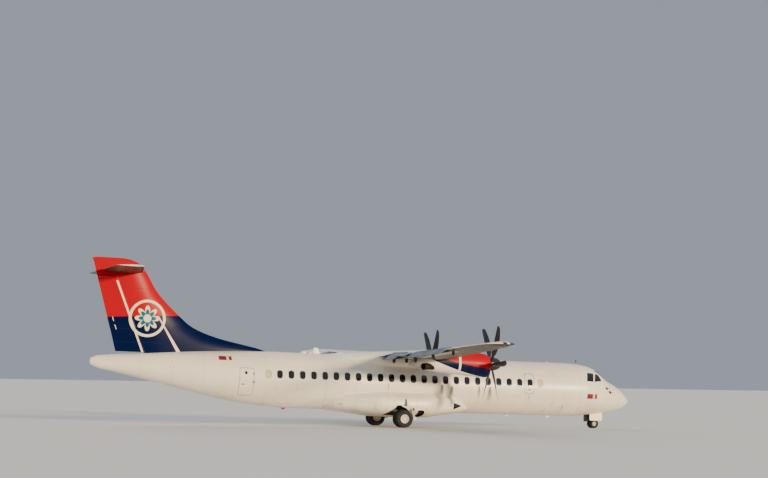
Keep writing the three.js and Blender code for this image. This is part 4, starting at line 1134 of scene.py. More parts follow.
def skin_direction(points):
    """The outward direction of the fuselage skin near each point."""
    def distance(place):
        top, bottom, half, wide = skin_columns(-place[:, 0])
        rise = np.where(place[:, 2] > wide, top - wide, wide - bottom)
        return np.sqrt((place[:, 1] / half) ** 2 + ((place[:, 2] - wide) / rise) ** 2 + 1e-12)

    slopes = [distance(points + move) - distance(points - move) for move in np.eye(3) * 0.004]
    normals = np.stack(slopes, axis=1)
    return normals / np.maximum(np.linalg.norm(normals, axis=1, keepdims=True), 1e-9)


# How deep under the skin recesses go, and from where to where the things in them lie
PANE_REBATE = 0.022
CABIN_REBATE = 0.020
HANDLE_RECESS = 0.014
EXIT_GROOVE = 0.012
CABIN_PANE = (0.008, 0.018)
COCKPIT_PANE = (0.006, 0.020)
WINDOW_PLUG = (0.003, 0.018)
GRIP = (0.002, 0.010)


def recess(prisms, bay, depth, finish):
    """What prisms cut away down to a depth under the skin."""
    return refinished(cut(prisms, skin_between(*bay, -depth)), finish)


def under_skin(prism, bay, depths, finish):
    """The part of a prism that lies between two depths under the skin."""
    outer, inner = (skin_between(*bay, -depth) for depth in depths)
    return refinished(cut(common(prism, outer), inner), finish)


# Doors

# The section that each door hangs in, and a bay of the skin round it
DOOR_BAYS = {
    "cargo_door": ("fuselage_front", (3.21, 8.9)),
    "passenger_door": ("fuselage_rear", (16.3, 22.1)),
    "service_door": ("fuselage_rear", (16.3, 22.1)),
}
# Each door's windows and handles: station, height, width, height, corner radius
DOOR_WINDOWS = {"cargo_door": [], "passenger_door": [(20.17, 0.58, 0.15, 0.21, 0.07)],
                "service_door": [(20.11, 0.27, 0.13, 0.15, 0.06)]}
DOOR_HANDLES = {
    "cargo_door": [(4.05, -0.52, 0.22, 0.07, 0.03), (3.60, -0.66, 0.05, 0.05, 0.024),
                   (4.50, -0.66, 0.05, 0.05, 0.024)],
    "passenger_door": [(20.40, 0.26, 0.16, 0.06, 0.025), (20.17, 0.85, 0.20, 0.05, 0.02)],
    "service_door": [(20.24, -0.26, 0.16, 0.05, 0.022), (20.10, -0.11, 0.035, 0.035, 0.016),
                     (20.06, -0.46, 0.035, 0.035, 0.016)],
}
HINGE_STANDOFF = 0.024
HINGE_BOSS = 0.016
HINGE_WEB = 0.200
# The angles in degrees at which a leaf's edge is trimmed clear of its doorway
SWING_CHECKS = (3, 8, 15, 25)
# The handle of an exit: height, width, height of the recess, corner radius
EXIT_HANDLE = (-0.08, 0.13, 0.05, 0.02)
EXIT_BAY = (3.0, 9.2)


def door_prism(door, near, margin, finish=None):
    start, end, sill, head, side = DOORS[door]
    return side_prism((start + end) / 2, (sill + head) / 2, end - start + 2 * margin,
                      head - sill + 2 * margin, DOOR_CORNER + margin, side, near, finish=finish)


def door_hinge(door):
    """The hinge's frame: x along its axis, y towards the door, z outboard; and its arms' places."""
    start, end, sill, head, side = DOORS[door]
    middle = (start + end) / 2
    if door == "cargo_door":
        origin, panel, arms = (middle, skin_y(middle, head), head), (0, 0, -1), (-0.4, 0.4)
    elif door == "passenger_door":
        origin, panel, arms = (middle, skin_y(start, sill), sill), (0, 0, 1), (-0.25, 0.25)
    else:
        origin = (start, -read_table(SKIN, start, 3), (sill + head) / 2)
        panel, arms = (-1, 0, 0), (0, 0.38)
    panel, outboard = Vector(panel), Vector((0, side, 0))
    standing_off = at(*origin) + outboard * HINGE_STANDOFF
    return frame_of(standing_off, panel.cross(outboard), panel, outboard), arms


def hinge_lug(along, width, web_from, web_to):
    ends = [along - width / 2, along + width / 2]
    boss = bar(*(Vector((x, 0, 0)) for x in ends), HINGE_BOSS, STEEL)
    corners = ((web_from, -HINGE_WEB), (web_to, -HINGE_WEB), (web_to, 0), (web_from, 0))
    return join(boss, loft([[Vector((x, y, z)) for y, z in corners] for x in ends], STEEL))


def hang_door(door, section, bay):
    """The door's leaf with its arms, and the section with the doorway and the hinge lugs."""
    hinge, arms = door_hinge(door)
    body = cut(section, door_prism(door, DOOR_POCKET_Y, DOOR_GAP, LINING))
    near_body = cut(section, door_prism(door, 0.3, 0.002))
    leaf = cut(common(section, door_prism(door, 0.3, 0)), skin_between(*bay, -DOOR_THICKNESS, LINING))
    for angle in SWING_CHECKS:
        leaf = cut(leaf, moved(near_body, hinge @ turn("X", -angle) @ hinge.inverted()))
    door_lugs = [moved(hinge_lug(spot, 0.040, 0.002, 0.042), hinge) for spot in arms]
    frame_lugs = [moved(hinge_lug(spot + offset, 0.020, -0.060, -0.008), hinge)
                  for spot in arms for offset in (-0.035, 0.035)]
    return join(largest(leaf), *door_lugs), join(body, *frame_lugs)


def fit_door(door, leaf, bay):
    """Cuts a door's window and handle recesses, and hangs its glass and its grips on it."""
    side = DOORS[door][4]
    tools = []
    for spot in DOOR_HANDLES[door]:
        tools.append(recess(side_prism(*spot, side), bay, HANDLE_RECESS, SEAL_GREY))
        station, height, width, tall, _ = spot
        if width > 0.1:
            grip = side_prism(station, height, width * 0.8, tall * 0.4, tall * 0.19, side)
            place(f"{door}_grip_{len(tools)}", under_skin(grip, bay, GRIP, STEEL), "metal", body=door,
                  shading=skin_direction)
    for spot in DOOR_WINDOWS[door]:
        tools.append(recess(side_prism(*spot, side), bay, PANE_REBATE, WINDOW_FRAME))
        station, height, width, tall, corner = spot
        pane = side_prism(station, height, width - 0.016, tall - 0.016, corner - 0.008, side)
        place(f"{door}_pane", under_skin(pane, bay, CABIN_PANE, CABIN_GLASS), "glass", body=door,
              shading=skin_direction)
    return cut(leaf, *tools)


def door_steps():
    """The steps inside the passenger door, which lie at a slant when it is shut."""
    hinge, _ = door_hinge("passenger_door")
    start, end, sill, _, _ = DOORS["passenger_door"]
    corners = [(-STEP_ROOT, -0.015), (STEP_DEPTH, -0.015), (STEP_DEPTH, 0.015), (-STEP_ROOT, 0.015)]
    tread = loft([[Vector((x, y, z)) for y, z in corners] for x in (-STEP_WIDTH / 2, STEP_WIDTH / 2)],
                 STEP_TREAD)
    steps = []
    for up in (STEP_FIRST + i * STEP_PITCH for i in range(STEP_COUNT)):
        inner = skin_y((start + end) / 2, sill + up) - DOOR_THICKNESS - hinge.translation.y
        steps.append(moved(tread, hinge @ shift((0, up, inner)) @ turn("X", -45)))
    return steps


def exit_tools():
    """The grooves round the emergency exits and round their handles."""
    start, end, low, high = EXITS
    middle, width = (start + end) / 2, end - start
    tools = []
    for side in (1, -1):
        outer, inner = (side_prism(middle, (low + high) / 2, width + margin, high - low + margin,
                                   EXIT_CORNER + margin / 2, side) for margin in (0.016, 0))
        tools.append(recess(cut(outer, inner), EXIT_BAY, EXIT_GROOVE, SEAL_GREY))
        tools.append(recess(side_prism(middle, *EXIT_HANDLE, side), EXIT_BAY, HANDLE_RECESS, SEAL_GREY))
    return tools


# Fuselage and cabin windows


def windows_between(start, end, margin=0.0):
    """The window prisms of both sides between two stations, with whether each is a plug."""
    size = [value - 2 * margin for value in WINDOW_SIZE]
    found = []
    for k in range(WINDOW_COUNT):
        spot = WINDOW_LAST - k * WINDOW_PITCH
        if start < spot < end:
            found += [(side_prism(spot, WINDOW_HEIGHT, *size, WINDOW_CORNER - margin, side),
                       k in (0, WINDOW_COUNT - 1)) for side in (1, -1)]
    return found


def build_fuselage():
    """The sections of the fuselage, the doors that hang in them, and the cabin windows."""
    bodies = {}
    for name, (start, end) in SECTIONS.items():
        first, last = start + (SEAM if start else 0), end - (SEAM if end < TAIL_END else 0)
        bodies[name] = skin_between(first, last, finish=SKIN_PAINT)
        prisms = [prism for prism, _ in windows_between(start - 0.2, end + 0.2)]
        if prisms:
            grooves = exit_tools() if name == "fuselage_front" else []
            rebates = recess(gather(prisms), (start - 0.5, end + 0.5), CABIN_REBATE, WINDOW_FRAME)
            bodies[name] = cut(bodies[name], rebates, *grooves)
    leaves = {}
    for door, (section, bay) in DOOR_BAYS.items():
        leaves[door], bodies[section] = hang_door(door, bodies[section], bay)
    leaves["passenger_door"] = join(leaves["passenger_door"], *door_steps())
    bodies["cockpit_section"] = build_cockpit(bodies["cockpit_section"])
    bodies["fuselage_centre"] = cut(bodies["fuselage_centre"], inner_wing())
    for name, body in bodies.items():
        place(f"{name}_skin", body, "white_paint", [name], shading=skin_direction)
    for door, leaf in leaves.items():
        fitted = fit_door(door, leaf, DOOR_BAYS[door][1])
        place(f"{door}_leaf", fitted, "white_paint", [door], door, skin_direction)
    for name, (start, end) in SECTIONS.items():
        windows = windows_between(start, end, 0.006)
        for kind, plug, slot, depths, finish in (
                ("panes", False, "glass", CABIN_PANE, CABIN_GLASS),
                ("plugs", True, "white_paint", WINDOW_PLUG, COVER_TAN)):
            prisms = [prism for prism, is_plug in windows if is_plug == plug]
            if prisms:
                pane = under_skin(gather(prisms), (start + 0.01, end - 0.01), depths, finish)
                place(f"{name}_window_{kind}", pane, slot, shading=skin_direction)


# Cockpit

# Each pane's corners as station, y and height
COCKPIT_PANES = {
    "windscreen": [(1.42, 0.045, 0.56), (1.64, 0.70, 0.50), (2.15, 0.64, 0.96), (1.90, 0.045, 1.01)],
    "side_front": [(1.90, 0.995, 0.455), (2.40, 1.20, 0.41), (2.235, 0.87, 0.81), (2.03, 0.77, 0.80)],
    "side_rear": [(2.465, 1.215, 0.41), (2.85, 1.28, 0.435), (2.72, 0.975, 0.85), (2.325, 0.88, 0.835)],
}
PANE_GROUPS = {"windscreen": ["windscreen"], "side_window": ["side_front", "side_rear"]}
COCKPIT_BAY = (0.90, 3.15)
PANE_CORNER = 0.05


def rounded_corners(points, radius, steps=5):
    rounded = []
    for i, corner in enumerate(points):
        before, after = points[i - 1], points[(i + 1) % len(points)]
        start = corner + (before - corner).normalized() * radius
        end = corner + (after - corner).normalized() * radius
        for t in (k / steps for k in range(steps + 1)):
            rounded.append(start * (1 - t) ** 2 + corner * 2 * t * (1 - t) + end * t**2)
    return rounded


def pane_prism(pane, shrink):
    """A cockpit pane's outline, drawn in a little, as a prism that crosses the skin."""
    points = [at(*corner) for corner in COCKPIT_PANES[pane]]
    middle = sum(points, Vector()) / len(points)
    normal = (points[2] - points[0]).cross(points[3] - points[1]).normalized()
    if normal.dot(Vector((0, middle.y, middle.z))) < 0:
        normal.negate()
    outline = rounded_corners([point.lerp(middle, shrink) for point in points], PANE_CORNER)
    return loft([[point + normal * offset for point in outline] for offset in (-0.3, 0.26)])


def build_cockpit(section):
    recesses = []
    for pane in COCKPIT_PANES:
        pocket = largest(recess(pane_prism(pane, 0), COCKPIT_BAY, PANE_REBATE, WINDOW_FRAME))
        recesses += [pocket, moved(pocket, MIRROR)]
    for name, panes in PANE_GROUPS.items():
        glass = gather([largest(under_skin(pane_prism(pane, 0.02), COCKPIT_BAY, COCKPIT_PANE,
                                           COCKPIT_GLASS)) for pane in panes])
        place_pair(f"{name}_panes_{{}}", glass, "glass", [f"{name}_{{}}"], shading=skin_direction)
    start, end, half, roof = NOSE_BAY
    return cut(section, *recesses, block(start, end, -half, half, -1.5, roof, WELL_PRIMER_AND_SHADE))


# Aerofoils

AEROFOIL_STEPS = 36
TRAILING_EDGE = 0.0012


def half_thickness(x):
    return 5 * (0.2969 * math.sqrt(x) - 0.126 * x - 0.3516 * x**2 + 0.2843 * x**3 - 0.1036 * x**4)


def camber_at(x, camber):
    return camber / 0.16 * (0.8 * x - x * x) if x < 0.4 else camber / 0.36 * (0.2 + 0.8 * x - x * x)


def aerofoil_ring(row, camber=0.0, incidence=0.0, grow=0.0):
    y, leading, height, chord, thickness = row
    places = [(1 + math.cos(i / AEROFOIL_STEPS * math.pi)) / 2 for i in range(AEROFOIL_STEPS)] + [0]
    ring = []
    for sign, order in ((1, places), (-1, places[-2::-1])):
        for x in order:
            z = camber_at(x, camber) + sign * (thickness * half_thickness(x) + TRAILING_EDGE * x)
            along = x * chord + grow * (2 * x - 1)
            above = z * chord + grow * (sign if x > 0 else 0)
            ring.append(at(leading + along * math.cos(incidence) + above * math.sin(incidence), y,
                           height - along * math.sin(incidence) + above * math.cos(incidence)))
    return ring


def blend_rows(low, high, y):
    share = (y - low[0]) / (high[0] - low[0])
    return tuple(a + (b - a) * share for a, b in zip(low, high))


def wing_row(y):
    return (y, *WING_ROOT[1:]) if abs(y) <= WING_JOINT else blend_rows(WING_ROOT, WING_TIP, y)


def tail_row(y):
    return blend_rows(TAIL_ROWS[0], TAIL_ROWS[1], y)


def wing_piece(rows, grow=0.0, finish=None):
    return loft([aerofoil_ring(row, WING_CAMBER, WING_INCIDENCE, grow) for row in rows], finish)


def inner_wing(start=-WING_JOINT):
    """The middle of the wing, a millimetre larger all round, to cut what it passes through."""
    return wing_piece([wing_row(start), wing_row(WING_JOINT)], 0.001)


def under_wing(y, share, drop):
    """A place under the wing, at a share of the chord and a drop that is a share of it too."""
    _, leading, height, chord, _ = wing_row(y)
    return at(leading + share * chord, y, height - share * chord * math.sin(WING_INCIDENCE) - drop * chord)


def rounded_end(row, end, steps=6):
    """Rows that close a wing or tail tip with a round end, from one row to the last one."""
    rows = []
    for quarter in (i / steps * math.pi / 2 for i in range(1, steps + 1)):
        out, drawn = math.sin(quarter), 1 - math.cos(quarter)
        mixed = [a + (b - a) * (out if k == 0 else drawn) for k, (a, b) in enumerate(zip(row, end))]
        rows.append((*mixed[:4], max(mixed[4] * math.sqrt(max(0, 1 - (0.985 * out) ** 2)), 0.006)))
    return rows


def surface_tool(length, radii, gap):
    """Everything within a radius of a hinge along y, and everything behind it."""
    slope = (radii[1] - radii[0]) / length
    ends = (-gap, length + gap)
    low, high = (radii[0] + slope * end + gap for end in ends)
    reach = 1.6
    corners = ((-reach, -reach), (-reach, reach), (0, reach), (0, -reach))
    behind = loft([[Vector((x, end, z)) for x, z in corners] for end in ends])
    return join(bar(*(Vector((0, end, 0)) for end in ends), low, sides=72, end_radius=high), behind)


def split_at_hinge(body, start, end, radii):
    """The moving surface in its hinge's frame, the rest in the airframe's, and the frame."""
    y = (end - start).normalized()
    z = Vector((1, 0, 0)).cross(y).normalized()
    frame = frame_of(start, y.cross(z), y, z)
    length = (end - start).length
    local = moved(body, frame.inverted())
    moving = common(local, surface_tool(length, radii, 0))
    return moving, moved(cut(local, surface_tool(length, radii, CLEARANCE)), frame), frame


# Wing

# A bracket's corners: share of the chord, drop under it as a share too
BRACKET_OUTLINE = [(0.745, 0.030), (0.802, 0.030), (0.802, 0.100), (0.785, 0.130), (0.757, 0.130),
                   (0.745, 0.095)]
BRACKET_HALF_WIDTH = 0.025
# Where brackets hang beside the inner flap, amid the outer one and beside it
INNER_BRACKETS = (1.672, 3.448)
MIDDLE_BRACKET = 7.0
OUTER_BRACKETS = (4.668, 9.385)
PIN_RADIUS = 0.018
# The last row of the rounded wing tip
WING_END = (13.522, 12.02, 1.731, 1.13, 0.09)
# Lamps at the wing's tip: first and last station, inner end
TIP_LENSES = ((11.30, 12.04, 13.23), (12.20, 12.36, 13.40))


def flap_bracket(y):
    """A bracket that hangs under the wing at a flap's hinge."""
    # Its dark grey is painted shade under the wing.
    return loft([[under_wing(y, share, drop) + Vector((0, half, 0)) for share, drop in BRACKET_OUTLINE]
                 for half in (-BRACKET_HALF_WIDTH, BRACKET_HALF_WIDTH)], BRACKET_SHADE_GREY)


def build_flap(part, wing):
    """Makes both sides' flaps of one part of the wing, and gives back that part without them."""
    start, end = (under_wing(y, FLAP_HINGE_CHORD, FLAP_DROP) for y in FLAPS[part])
    radii = [FLAP_RADIUS * wing_row(y)[3] for y in FLAPS[part]]
    moving, fixed, frame = split_at_hinge(wing, start, end, radii)
    # The flaps take the grey-blue of a painted sky reflection.
    for i, material in enumerate(moving.materials):
        if material == WING_PAINT_AND_SHADE:
            moving.materials[i] = FLAP_SKY_REFLECTION
    length = (end - start).length
    pins = [bar(Vector((0, first, 0)), Vector((0, last, 0)), PIN_RADIUS, STEEL)
            for first, last in ((-0.070, 0.026), (length - 0.026, length + 0.070))]
    lowered = frame @ Matrix.Rotation(-FLAP_DEFLECTION, 4, "Y")
    flap = f"flap_{part}_{{}}"
    place_pair(f"{flap}_skin", moved(gather([moving, *pins]), lowered), "white_paint", [flap], flap)
    return fixed


def tip_boxes(margin, finish=None):
    return [block(start - margin, end + margin, y - margin / 2, 13.6, 1.4, 2.0, finish)
            for start, end, y in TIP_LENSES]


def build_wing():
    centre = wing_piece([wing_row(y) for y in np.linspace(0, WING_JOINT - SEAM, 8)], finish=WING_PAINT_AND_SHADE)
    half = join(build_flap("inner", centre), *(flap_bracket(y) for y in INNER_BRACKETS))
    place("wing_centre_skin", join(half, moved(half, MIRROR)), "white_paint", ["wing_centre"])

    rows = [wing_row(y) for y in np.linspace(WING_JOINT + SEAM, WING_TIP[0], 14)]
    outer = wing_piece(rows + rounded_end(WING_TIP, WING_END), finish=WING_PAINT_AND_SHADE)
    lens = gather([refinished(common(outer, box), LAMP_SMOKED) for box in tip_boxes(0)])
    outer = join(cut(outer, *tip_boxes(0.01, DARK_FITTING)), flap_bracket(MIDDLE_BRACKET))
    outer = join(build_flap("outer", outer), *(flap_bracket(y) for y in OUTER_BRACKETS))
    aileron, outer, frame = split_at_hinge(outer, *(under_wing(y, AILERON_CHORD, -0.011) for y in AILERON),
                                           [AILERON_RADIUS * wing_row(y)[3] for y in AILERON])
    place_pair("aileron_{}_skin", moved(aileron, frame), "white_paint", ["aileron_{}"], "aileron_{}")
    place_pair("wing_{}_skin", outer, "white_paint", ["wing_{}"])
    place_pair("wing_tip_lens_{}", lens, "glass")


# Fin, rudder and tailplane

FIN_NOSE_STEPS = 20
FIN_TAIL_STEPS = 14
RUDDER_SHAFT = 0.022
# Where the rudder's top starts to slant, and how far over the hinge's end it lies there and far aft
RUDDER_TOP = ((26.080, 0.028), (29, -0.102))
# The strip between the rudder's top and the cap
SEAL_OUTLINE = [(26.140, 4.4815), (26.980, 4.4815), (26.980, 4.434), (26.140, 4.4705)]
# The last row of the tailplane's rounded tip
TAIL_TIP_END = (3.652, 25.72, 4.790, 1.00, 0.08)


def fin_ring(row, grow=0.0):
    height, front, thickest, back, thickness = row
    side = []
    for i in range(FIN_NOSE_STEPS):
        share = 1 - math.cos((i + 0.15) / FIN_NOSE_STEPS * math.pi / 2)
        side.append((front + (thickest - front) * share, (1 - (1 - share) ** 2) ** 0.75))
    for share in (i / (FIN_TAIL_STEPS - 1) for i in range(FIN_TAIL_STEPS)):
        side.append((thickest + (back - thickest) * share, 1 - 0.97 * share**1.7))
    ring = [at(station, width * thickness / 2 + grow, height) for station, width in side]
    return ring + [at(station, -width * thickness / 2 - grow, height) for station, width in reversed(side)]


def slanting_room(gap):
    """Everything ahead of the plane between the dorsal fin and the fin."""
    (low_station, low), (high_station, high) = FIN_FOOT_EDGE
    slant = math.atan2(high_station - low_station, high - low)
    return moved(block(-9, 0, -1, 1, -4.5, 4.5),
                 shift((-low_station - gap, 0, low)) @ Matrix.Rotation(-slant, 4, "Y"))


def rudder_room(frame, length, gap, margin):
    """Everything round the rudder's hinge and behind it, between its foot and its slanting top."""
    low, high = RUDDER_RADII
    spare = 0.6
    slope = (high - low) / length * spare
    around = bar(Vector((0, -spare, 0)), Vector((0, length + spare, 0)), low - slope + gap, sides=72,
                 end_radius=high + slope + gap)
    behind = moved(block(0, 2.6, -0.6, 0.6, -spare, length + spare), turn("X", -90))
    foot, head = RUDDER_LOW[1] - margin, RUDDER_HIGH[1] + margin
    (front, front_rise), (back, back_rise) = RUDDER_TOP
    outline = [(20, foot), (back, foot), (back, head + back_rise), (front, head + front_rise),
               (20, head + front_rise)]
    return common(join(around, behind), moved(plate(outline, -0.8, 0.8), frame.inverted()))


def build_fin():
    whole = cut(loft([fin_ring(row) for row in fine_rows(FIN, 0.12)], TAIL_PAINT_AND_GLINTS),
                skin_between(18.0, TAIL_END, 0.001))
    place("dorsal_fin_skin", common(whole, slanting_room(0.0)), "navy_paint", ["dorsal_fin"])
    start, end = at(RUDDER_LOW[0], 0, RUDDER_LOW[1]), at(RUDDER_HIGH[0], 0, RUDDER_HIGH[1])
    length = (end - start).length
    y = (end - start).normalized()
    x = (Vector((1, 0, 0)) - y * y.x).normalized()
    frame = frame_of(start, x, y, x.cross(y))
    body = moved(cut(whole, slanting_room(0.002)), frame.inverted())
    shaft = bar(Vector((0, -0.24, 0)), Vector((0, length + 0.11, 0)), RUDDER_SHAFT, STEEL)
    rudder = join(common(body, rudder_room(frame, length, 0, 0)), shaft)
    place("rudder_skin", moved(rudder, frame), "navy_paint", ["rudder"], "rudder")
    fixed = cut(body, rudder_room(frame, length, CLEARANCE, CLEARANCE + 0.2))
    place("fin_skin", moved(fixed, frame), "navy_paint", ["fin"])
    cap = loft([fin_ring(row) for row in fine_rows(FIN_CAP[:4], 0.08) + FIN_TOP], TAIL_PAINT_AND_GLINTS)
    place("fin_cap_skin", cap, "red_paint", ["fin_cap"])
    place("fin_cap_seal", plate(SEAL_OUTLINE, -0.004, 0.004, TAIL_PAINT_AND_GLINTS), "red_paint")


def build_tailplane():
    rows = [tail_row(y) for y in np.linspace(0.0, TAIL_ROWS[1][0], 9)]
    rows += rounded_end(TAIL_ROWS[1], TAIL_TIP_END)
    half = cut(loft([aerofoil_ring(row) for row in rows], TAILPLANE_PAINT_AND_SHADE),
               loft([fin_ring(row, 0.001) for row in FIN_CAP]))
    ends = [at(tail_row(y)[1] + ELEVATOR_CHORD * tail_row(y)[3], y, tail_row(y)[2]) for y in ELEVATOR]
    radii = [ELEVATOR_RADIUS * tail_row(y)[3] for y in ELEVATOR]
    elevator, fixed, frame = split_at_hinge(half, *ends, radii)
    place_pair("elevator_{}_skin", moved(elevator, frame), "white_paint", ["elevator_{}"], "elevator_{}")
    place_pair("tailplane_{}_skin", fixed, "white_paint", ["tailplane_{}"])


# Fairings, with the openings in the sides of the gear fairing

WING_FAIRING_FOOT = -0.62
WING_FAIRING_BEND = 0.75
GEAR_FAIRING_BEND = 0.72
GEAR_FAIRING_BAY = (8.7, 16.4)
# A y that lies outside the gear fairing, and where the wheel wells end inboard
OUTSIDE = 2.4
WELL_WALL = 1.330
INLET_CORNERS = [(9.35, -0.965), (9.86, -0.820), (9.88, -1.150)]
INLET_RIM = [(9.15, -0.970), (9.95, -0.765), (9.97, -1.205)]
# The cooling outlet ahead of each well, and a vent: station, height, width, height, corner radius
OUTLET = (11.72, -1.385, 0.56, 0.33, 0.15)
VENT = (15.52, -1.03, 0.16, 0.030, 0.012)


def fairing_ring(station, half, middle, rise, bend):
    return [at(station, across * half, middle + up * rise) for across, up in squircle(72, bend)]


def gear_fairing(depth=0.0, finish=None):
    """The gear fairing's body, drawn in by a depth."""
    return loft([fairing_ring(station, half - depth, centre, rise - depth, GEAR_FAIRING_BEND)
                 for station, half, centre, rise in fine_rows(GEAR_FAIRING, 0.15)], finish)


def build_fairings():
    foot = WING_FAIRING_FOOT
    rings = [fairing_ring(station, half, (top - foot) / 2, (top + foot) / 2, WING_FAIRING_BEND)
             for station, half, top in fine_rows(WING_FAIRING, 0.15)]
    hump = cut(loft(rings, SKIN_PAINT), inner_wing(), skin_between(9.5, 15.9, 0.001))
    place("wing_fairing_skin", hump, "white_paint", ["wing_fairing"])

    inlet, rim = (plate(outline, 0.5, OUTSIDE) for outline in (INLET_CORNERS, INLET_RIM))
    outlet, vent = (side_prism(*opening, 1, 0.6, OUTSIDE) for opening in (OUTLET, VENT))
    holes = [plate(WHEEL_WELL, side * WELL_WALL, side * OUTSIDE, WELL_PRIMER_AND_SHADE) for side in (1, -1)]
    for tool, depth, finish in ((inlet, 0.07, INLET_SHADE), (outlet, 0.09, INLET_SHADE),
                                (vent, 0.02, SEAL_GREY)):
        hole = refinished(cut(tool, gear_fairing(depth)), finish)
        holes += [hole, moved(hole, MIRROR)]
    belly = cut(gear_fairing(finish=SKIN_PAINT), skin_between(*GEAR_FAIRING_BAY, 0.001), *holes)
    place("gear_fairing_skin", belly, "white_paint", ["gear_fairing"])
    band = cut(common(rim, gear_fairing(-0.004)), gear_fairing(0.01), inlet)
    place_pair("inlet_rim_{}", refinished(band, ANTENNA_WHITE), "white_paint")


# Nacelles and exhausts

# What lies inside it belongs to the nacelle: first and last station, inner and outer y
NACELLE_BOX = (9.0, 14.0, 3.0, 5.0)
# Air inlet under the spinner: station, half width, half height, middle's height from the shaft
ENGINE_INLET = [(9.10, 0.235, 0.085, -0.432), (9.235, 0.225, 0.078, -0.432), (9.45, 0.20, 0.09, -0.42),
                (9.80, 0.16, 0.10, -0.39)]
INLET_SAG = 0.05


def nacelle_ring(row):
    station, top, bottom, half, wide = row
    return [at(station, ENGINE_Y + across * half,
               SHAFT_HEIGHT + wide + up * (top - wide if up > 0 else wide - bottom))
            for across, up in squircle(72)]


def build_nacelles():
    (first, *sizes, wide), *rest = NACELLE
    lip = [(first + back, *[size * share for size in sizes], wide)
           for back, share in ((0, 0.955), (0.008, 0.985))]
    rows = lip + fine_rows([(first + 0.030, *sizes, wide), *rest], 0.10)
    bore = bar(at(9.0, ENGINE_Y, SHAFT_HEIGHT), at(9.32, ENGINE_Y, SHAFT_HEIGHT), 0.27, WELL_PRIMER_AND_SHADE, 48)
    inlet = loft([[at(station, ENGINE_Y + across * half,
                      SHAFT_HEIGHT + drop + up * tall - INLET_SAG * (1 - across**2))
                   for across, up in squircle(40, 0.75)] for station, half, tall, drop in ENGINE_INLET],
                 INLET_SHADE)
    whole = cut(loft([nacelle_ring(row) for row in rows], NACELLE_PAINT), inner_wing(2.0), bore, inlet)

    start, end = (at(*spot) for spot in EXHAUST_AXIS)
    pipe_room = bar(start, start.lerp(end, 1.12), EXHAUST_RADIUS + 0.014, EXHAUST_INSIDE, 64)
    pipe = cut(bar(start.lerp(end, 0.02), start.lerp(end, 0.92), EXHAUST_RADIUS - 0.002, EXHAUST_STEEL, 64),
               bar(start.lerp(end, 0.10), start.lerp(end, 1.05), EXHAUST_RADIUS - 0.012, EXHAUST_INSIDE, 64))
    upper = common(whole, block(*NACELLE_BOX, SHAFT_HEIGHT + SEAM / 2, 2.2))
    lower = cut(common(whole, block(*NACELLE_BOX, 0, SHAFT_HEIGHT - SEAM / 2)), pipe_room)
    place_pair("nacelle_upper_{}_skin", upper, "red_paint", ["nacelle_upper_{}", "engine_{}"])
    place_pair("nacelle_lower_{}_skin", lower, "white_paint", ["nacelle_lower_{}"])
    place_pair("exhaust_{}_pipe", pipe, "dark_metal", ["exhaust_{}"])


# Propellers

BLADE_SIDES = 28
SPINNER_STEPS = 32


def blade_mesh():
    rings = []
    for radius, chord, thickness, degrees, sweep in fine_rows(BLADE, 0.06):
        angle = math.radians(degrees)
        lead = Vector((math.sin(angle), -math.cos(angle), 0))
        face = Vector((math.cos(angle), math.sin(angle), 0))
        ring = []
        for around in ((i + 0.5) / BLADE_SIDES * math.tau for i in range(BLADE_SIDES)):
            across = math.cos(around)
            full = math.sin(around) * (1 + 0.45 * across) / 1.12
            ring.append(Vector((0, 0, radius)) + lead * (across * chord / 2 + sweep)
                        + face * (full * thickness / 2))
        rings.append(ring)
    middle = sum(rings[-1], Vector()) / BLADE_SIDES
    rings.append([point.lerp(middle, 0.55) for point in rings[-1]])
    return loft(rings, BLADE_BLACK)


def build_propellers():
    half, radius = HUB_HALF_LENGTH, HUB_RADIUS
    drum = lathe([(0, -half), (radius - 0.012, -half), (radius, 0.012 - half), (radius, half), (0, half)],
                 Matrix(), 72, SPINNER_BLACK)
    cuff = bar(Vector((0, 0, 0.20)), Vector((0, 0, 0.325)), 0.092, SPINNER_BLACK, 32, 0.072)
    parts = (blade_mesh(), cuff)
    blades = [moved(part, turn("X", (i + 0.5) * 360 / BLADES)) for i in range(BLADES) for part in parts]
    propeller = join(drum, bar(Vector((-0.43, 0, 0)), ORIGIN, 0.060, STEEL), *blades)
    foot = half + 0.001
    length = PROP_STATION - SPINNER_NOSE - foot
    profile = [(0, foot)]
    for share in (math.sin(i / SPINNER_STEPS * math.pi / 2) for i in range(SPINNER_STEPS)):
        profile.append((radius * math.sqrt(1 - share**1.8), foot + length * share))
    spinner = lathe([*profile, (0, foot + length)], Matrix(), 72, SPINNER_BLACK)
    for side, sign in SIDES:
        hub = shift(at(PROP_STATION, sign * ENGINE_Y, SHAFT_HEIGHT))
        body = f"propeller_{side}"
        place(f"{body}_blades", moved(propeller, hub), "blade_black", [body], body)
        place(f"spinner_{side}_cone", moved(spinner, hub), "blade_black", [f"spinner_{side}"], body)


# Wheels

# Half of a tyre's section, from its bead to the middle of its tread: shares of half its width and of
# the height over the rim
TYRE_SECTION = [(-0.78, 0.0), (-0.92, 0.18), (-1.0, 0.45), (-0.97, 0.62), (-0.88, 0.80), (-0.74, 0.92),
                (-0.60, 0.975), (-0.42, 0.995), (-0.34, 1.0), (-0.325, 0.955), (-0.275, 0.955), (-0.26, 1.0),
                (-0.04, 1.0), (-0.03, 0.955)]
# A rim's section: share of its radius, distance from its outer edge
RIM_SECTION = [(0.985, 0), (0.93, 0), (0.90, -0.012), (0.86, -0.040), (0.62, -0.052), (0.46, -0.060),
               (0.42, -0.048), (0.34, -0.030), (0.30, -0.018), (0, -0.016)]


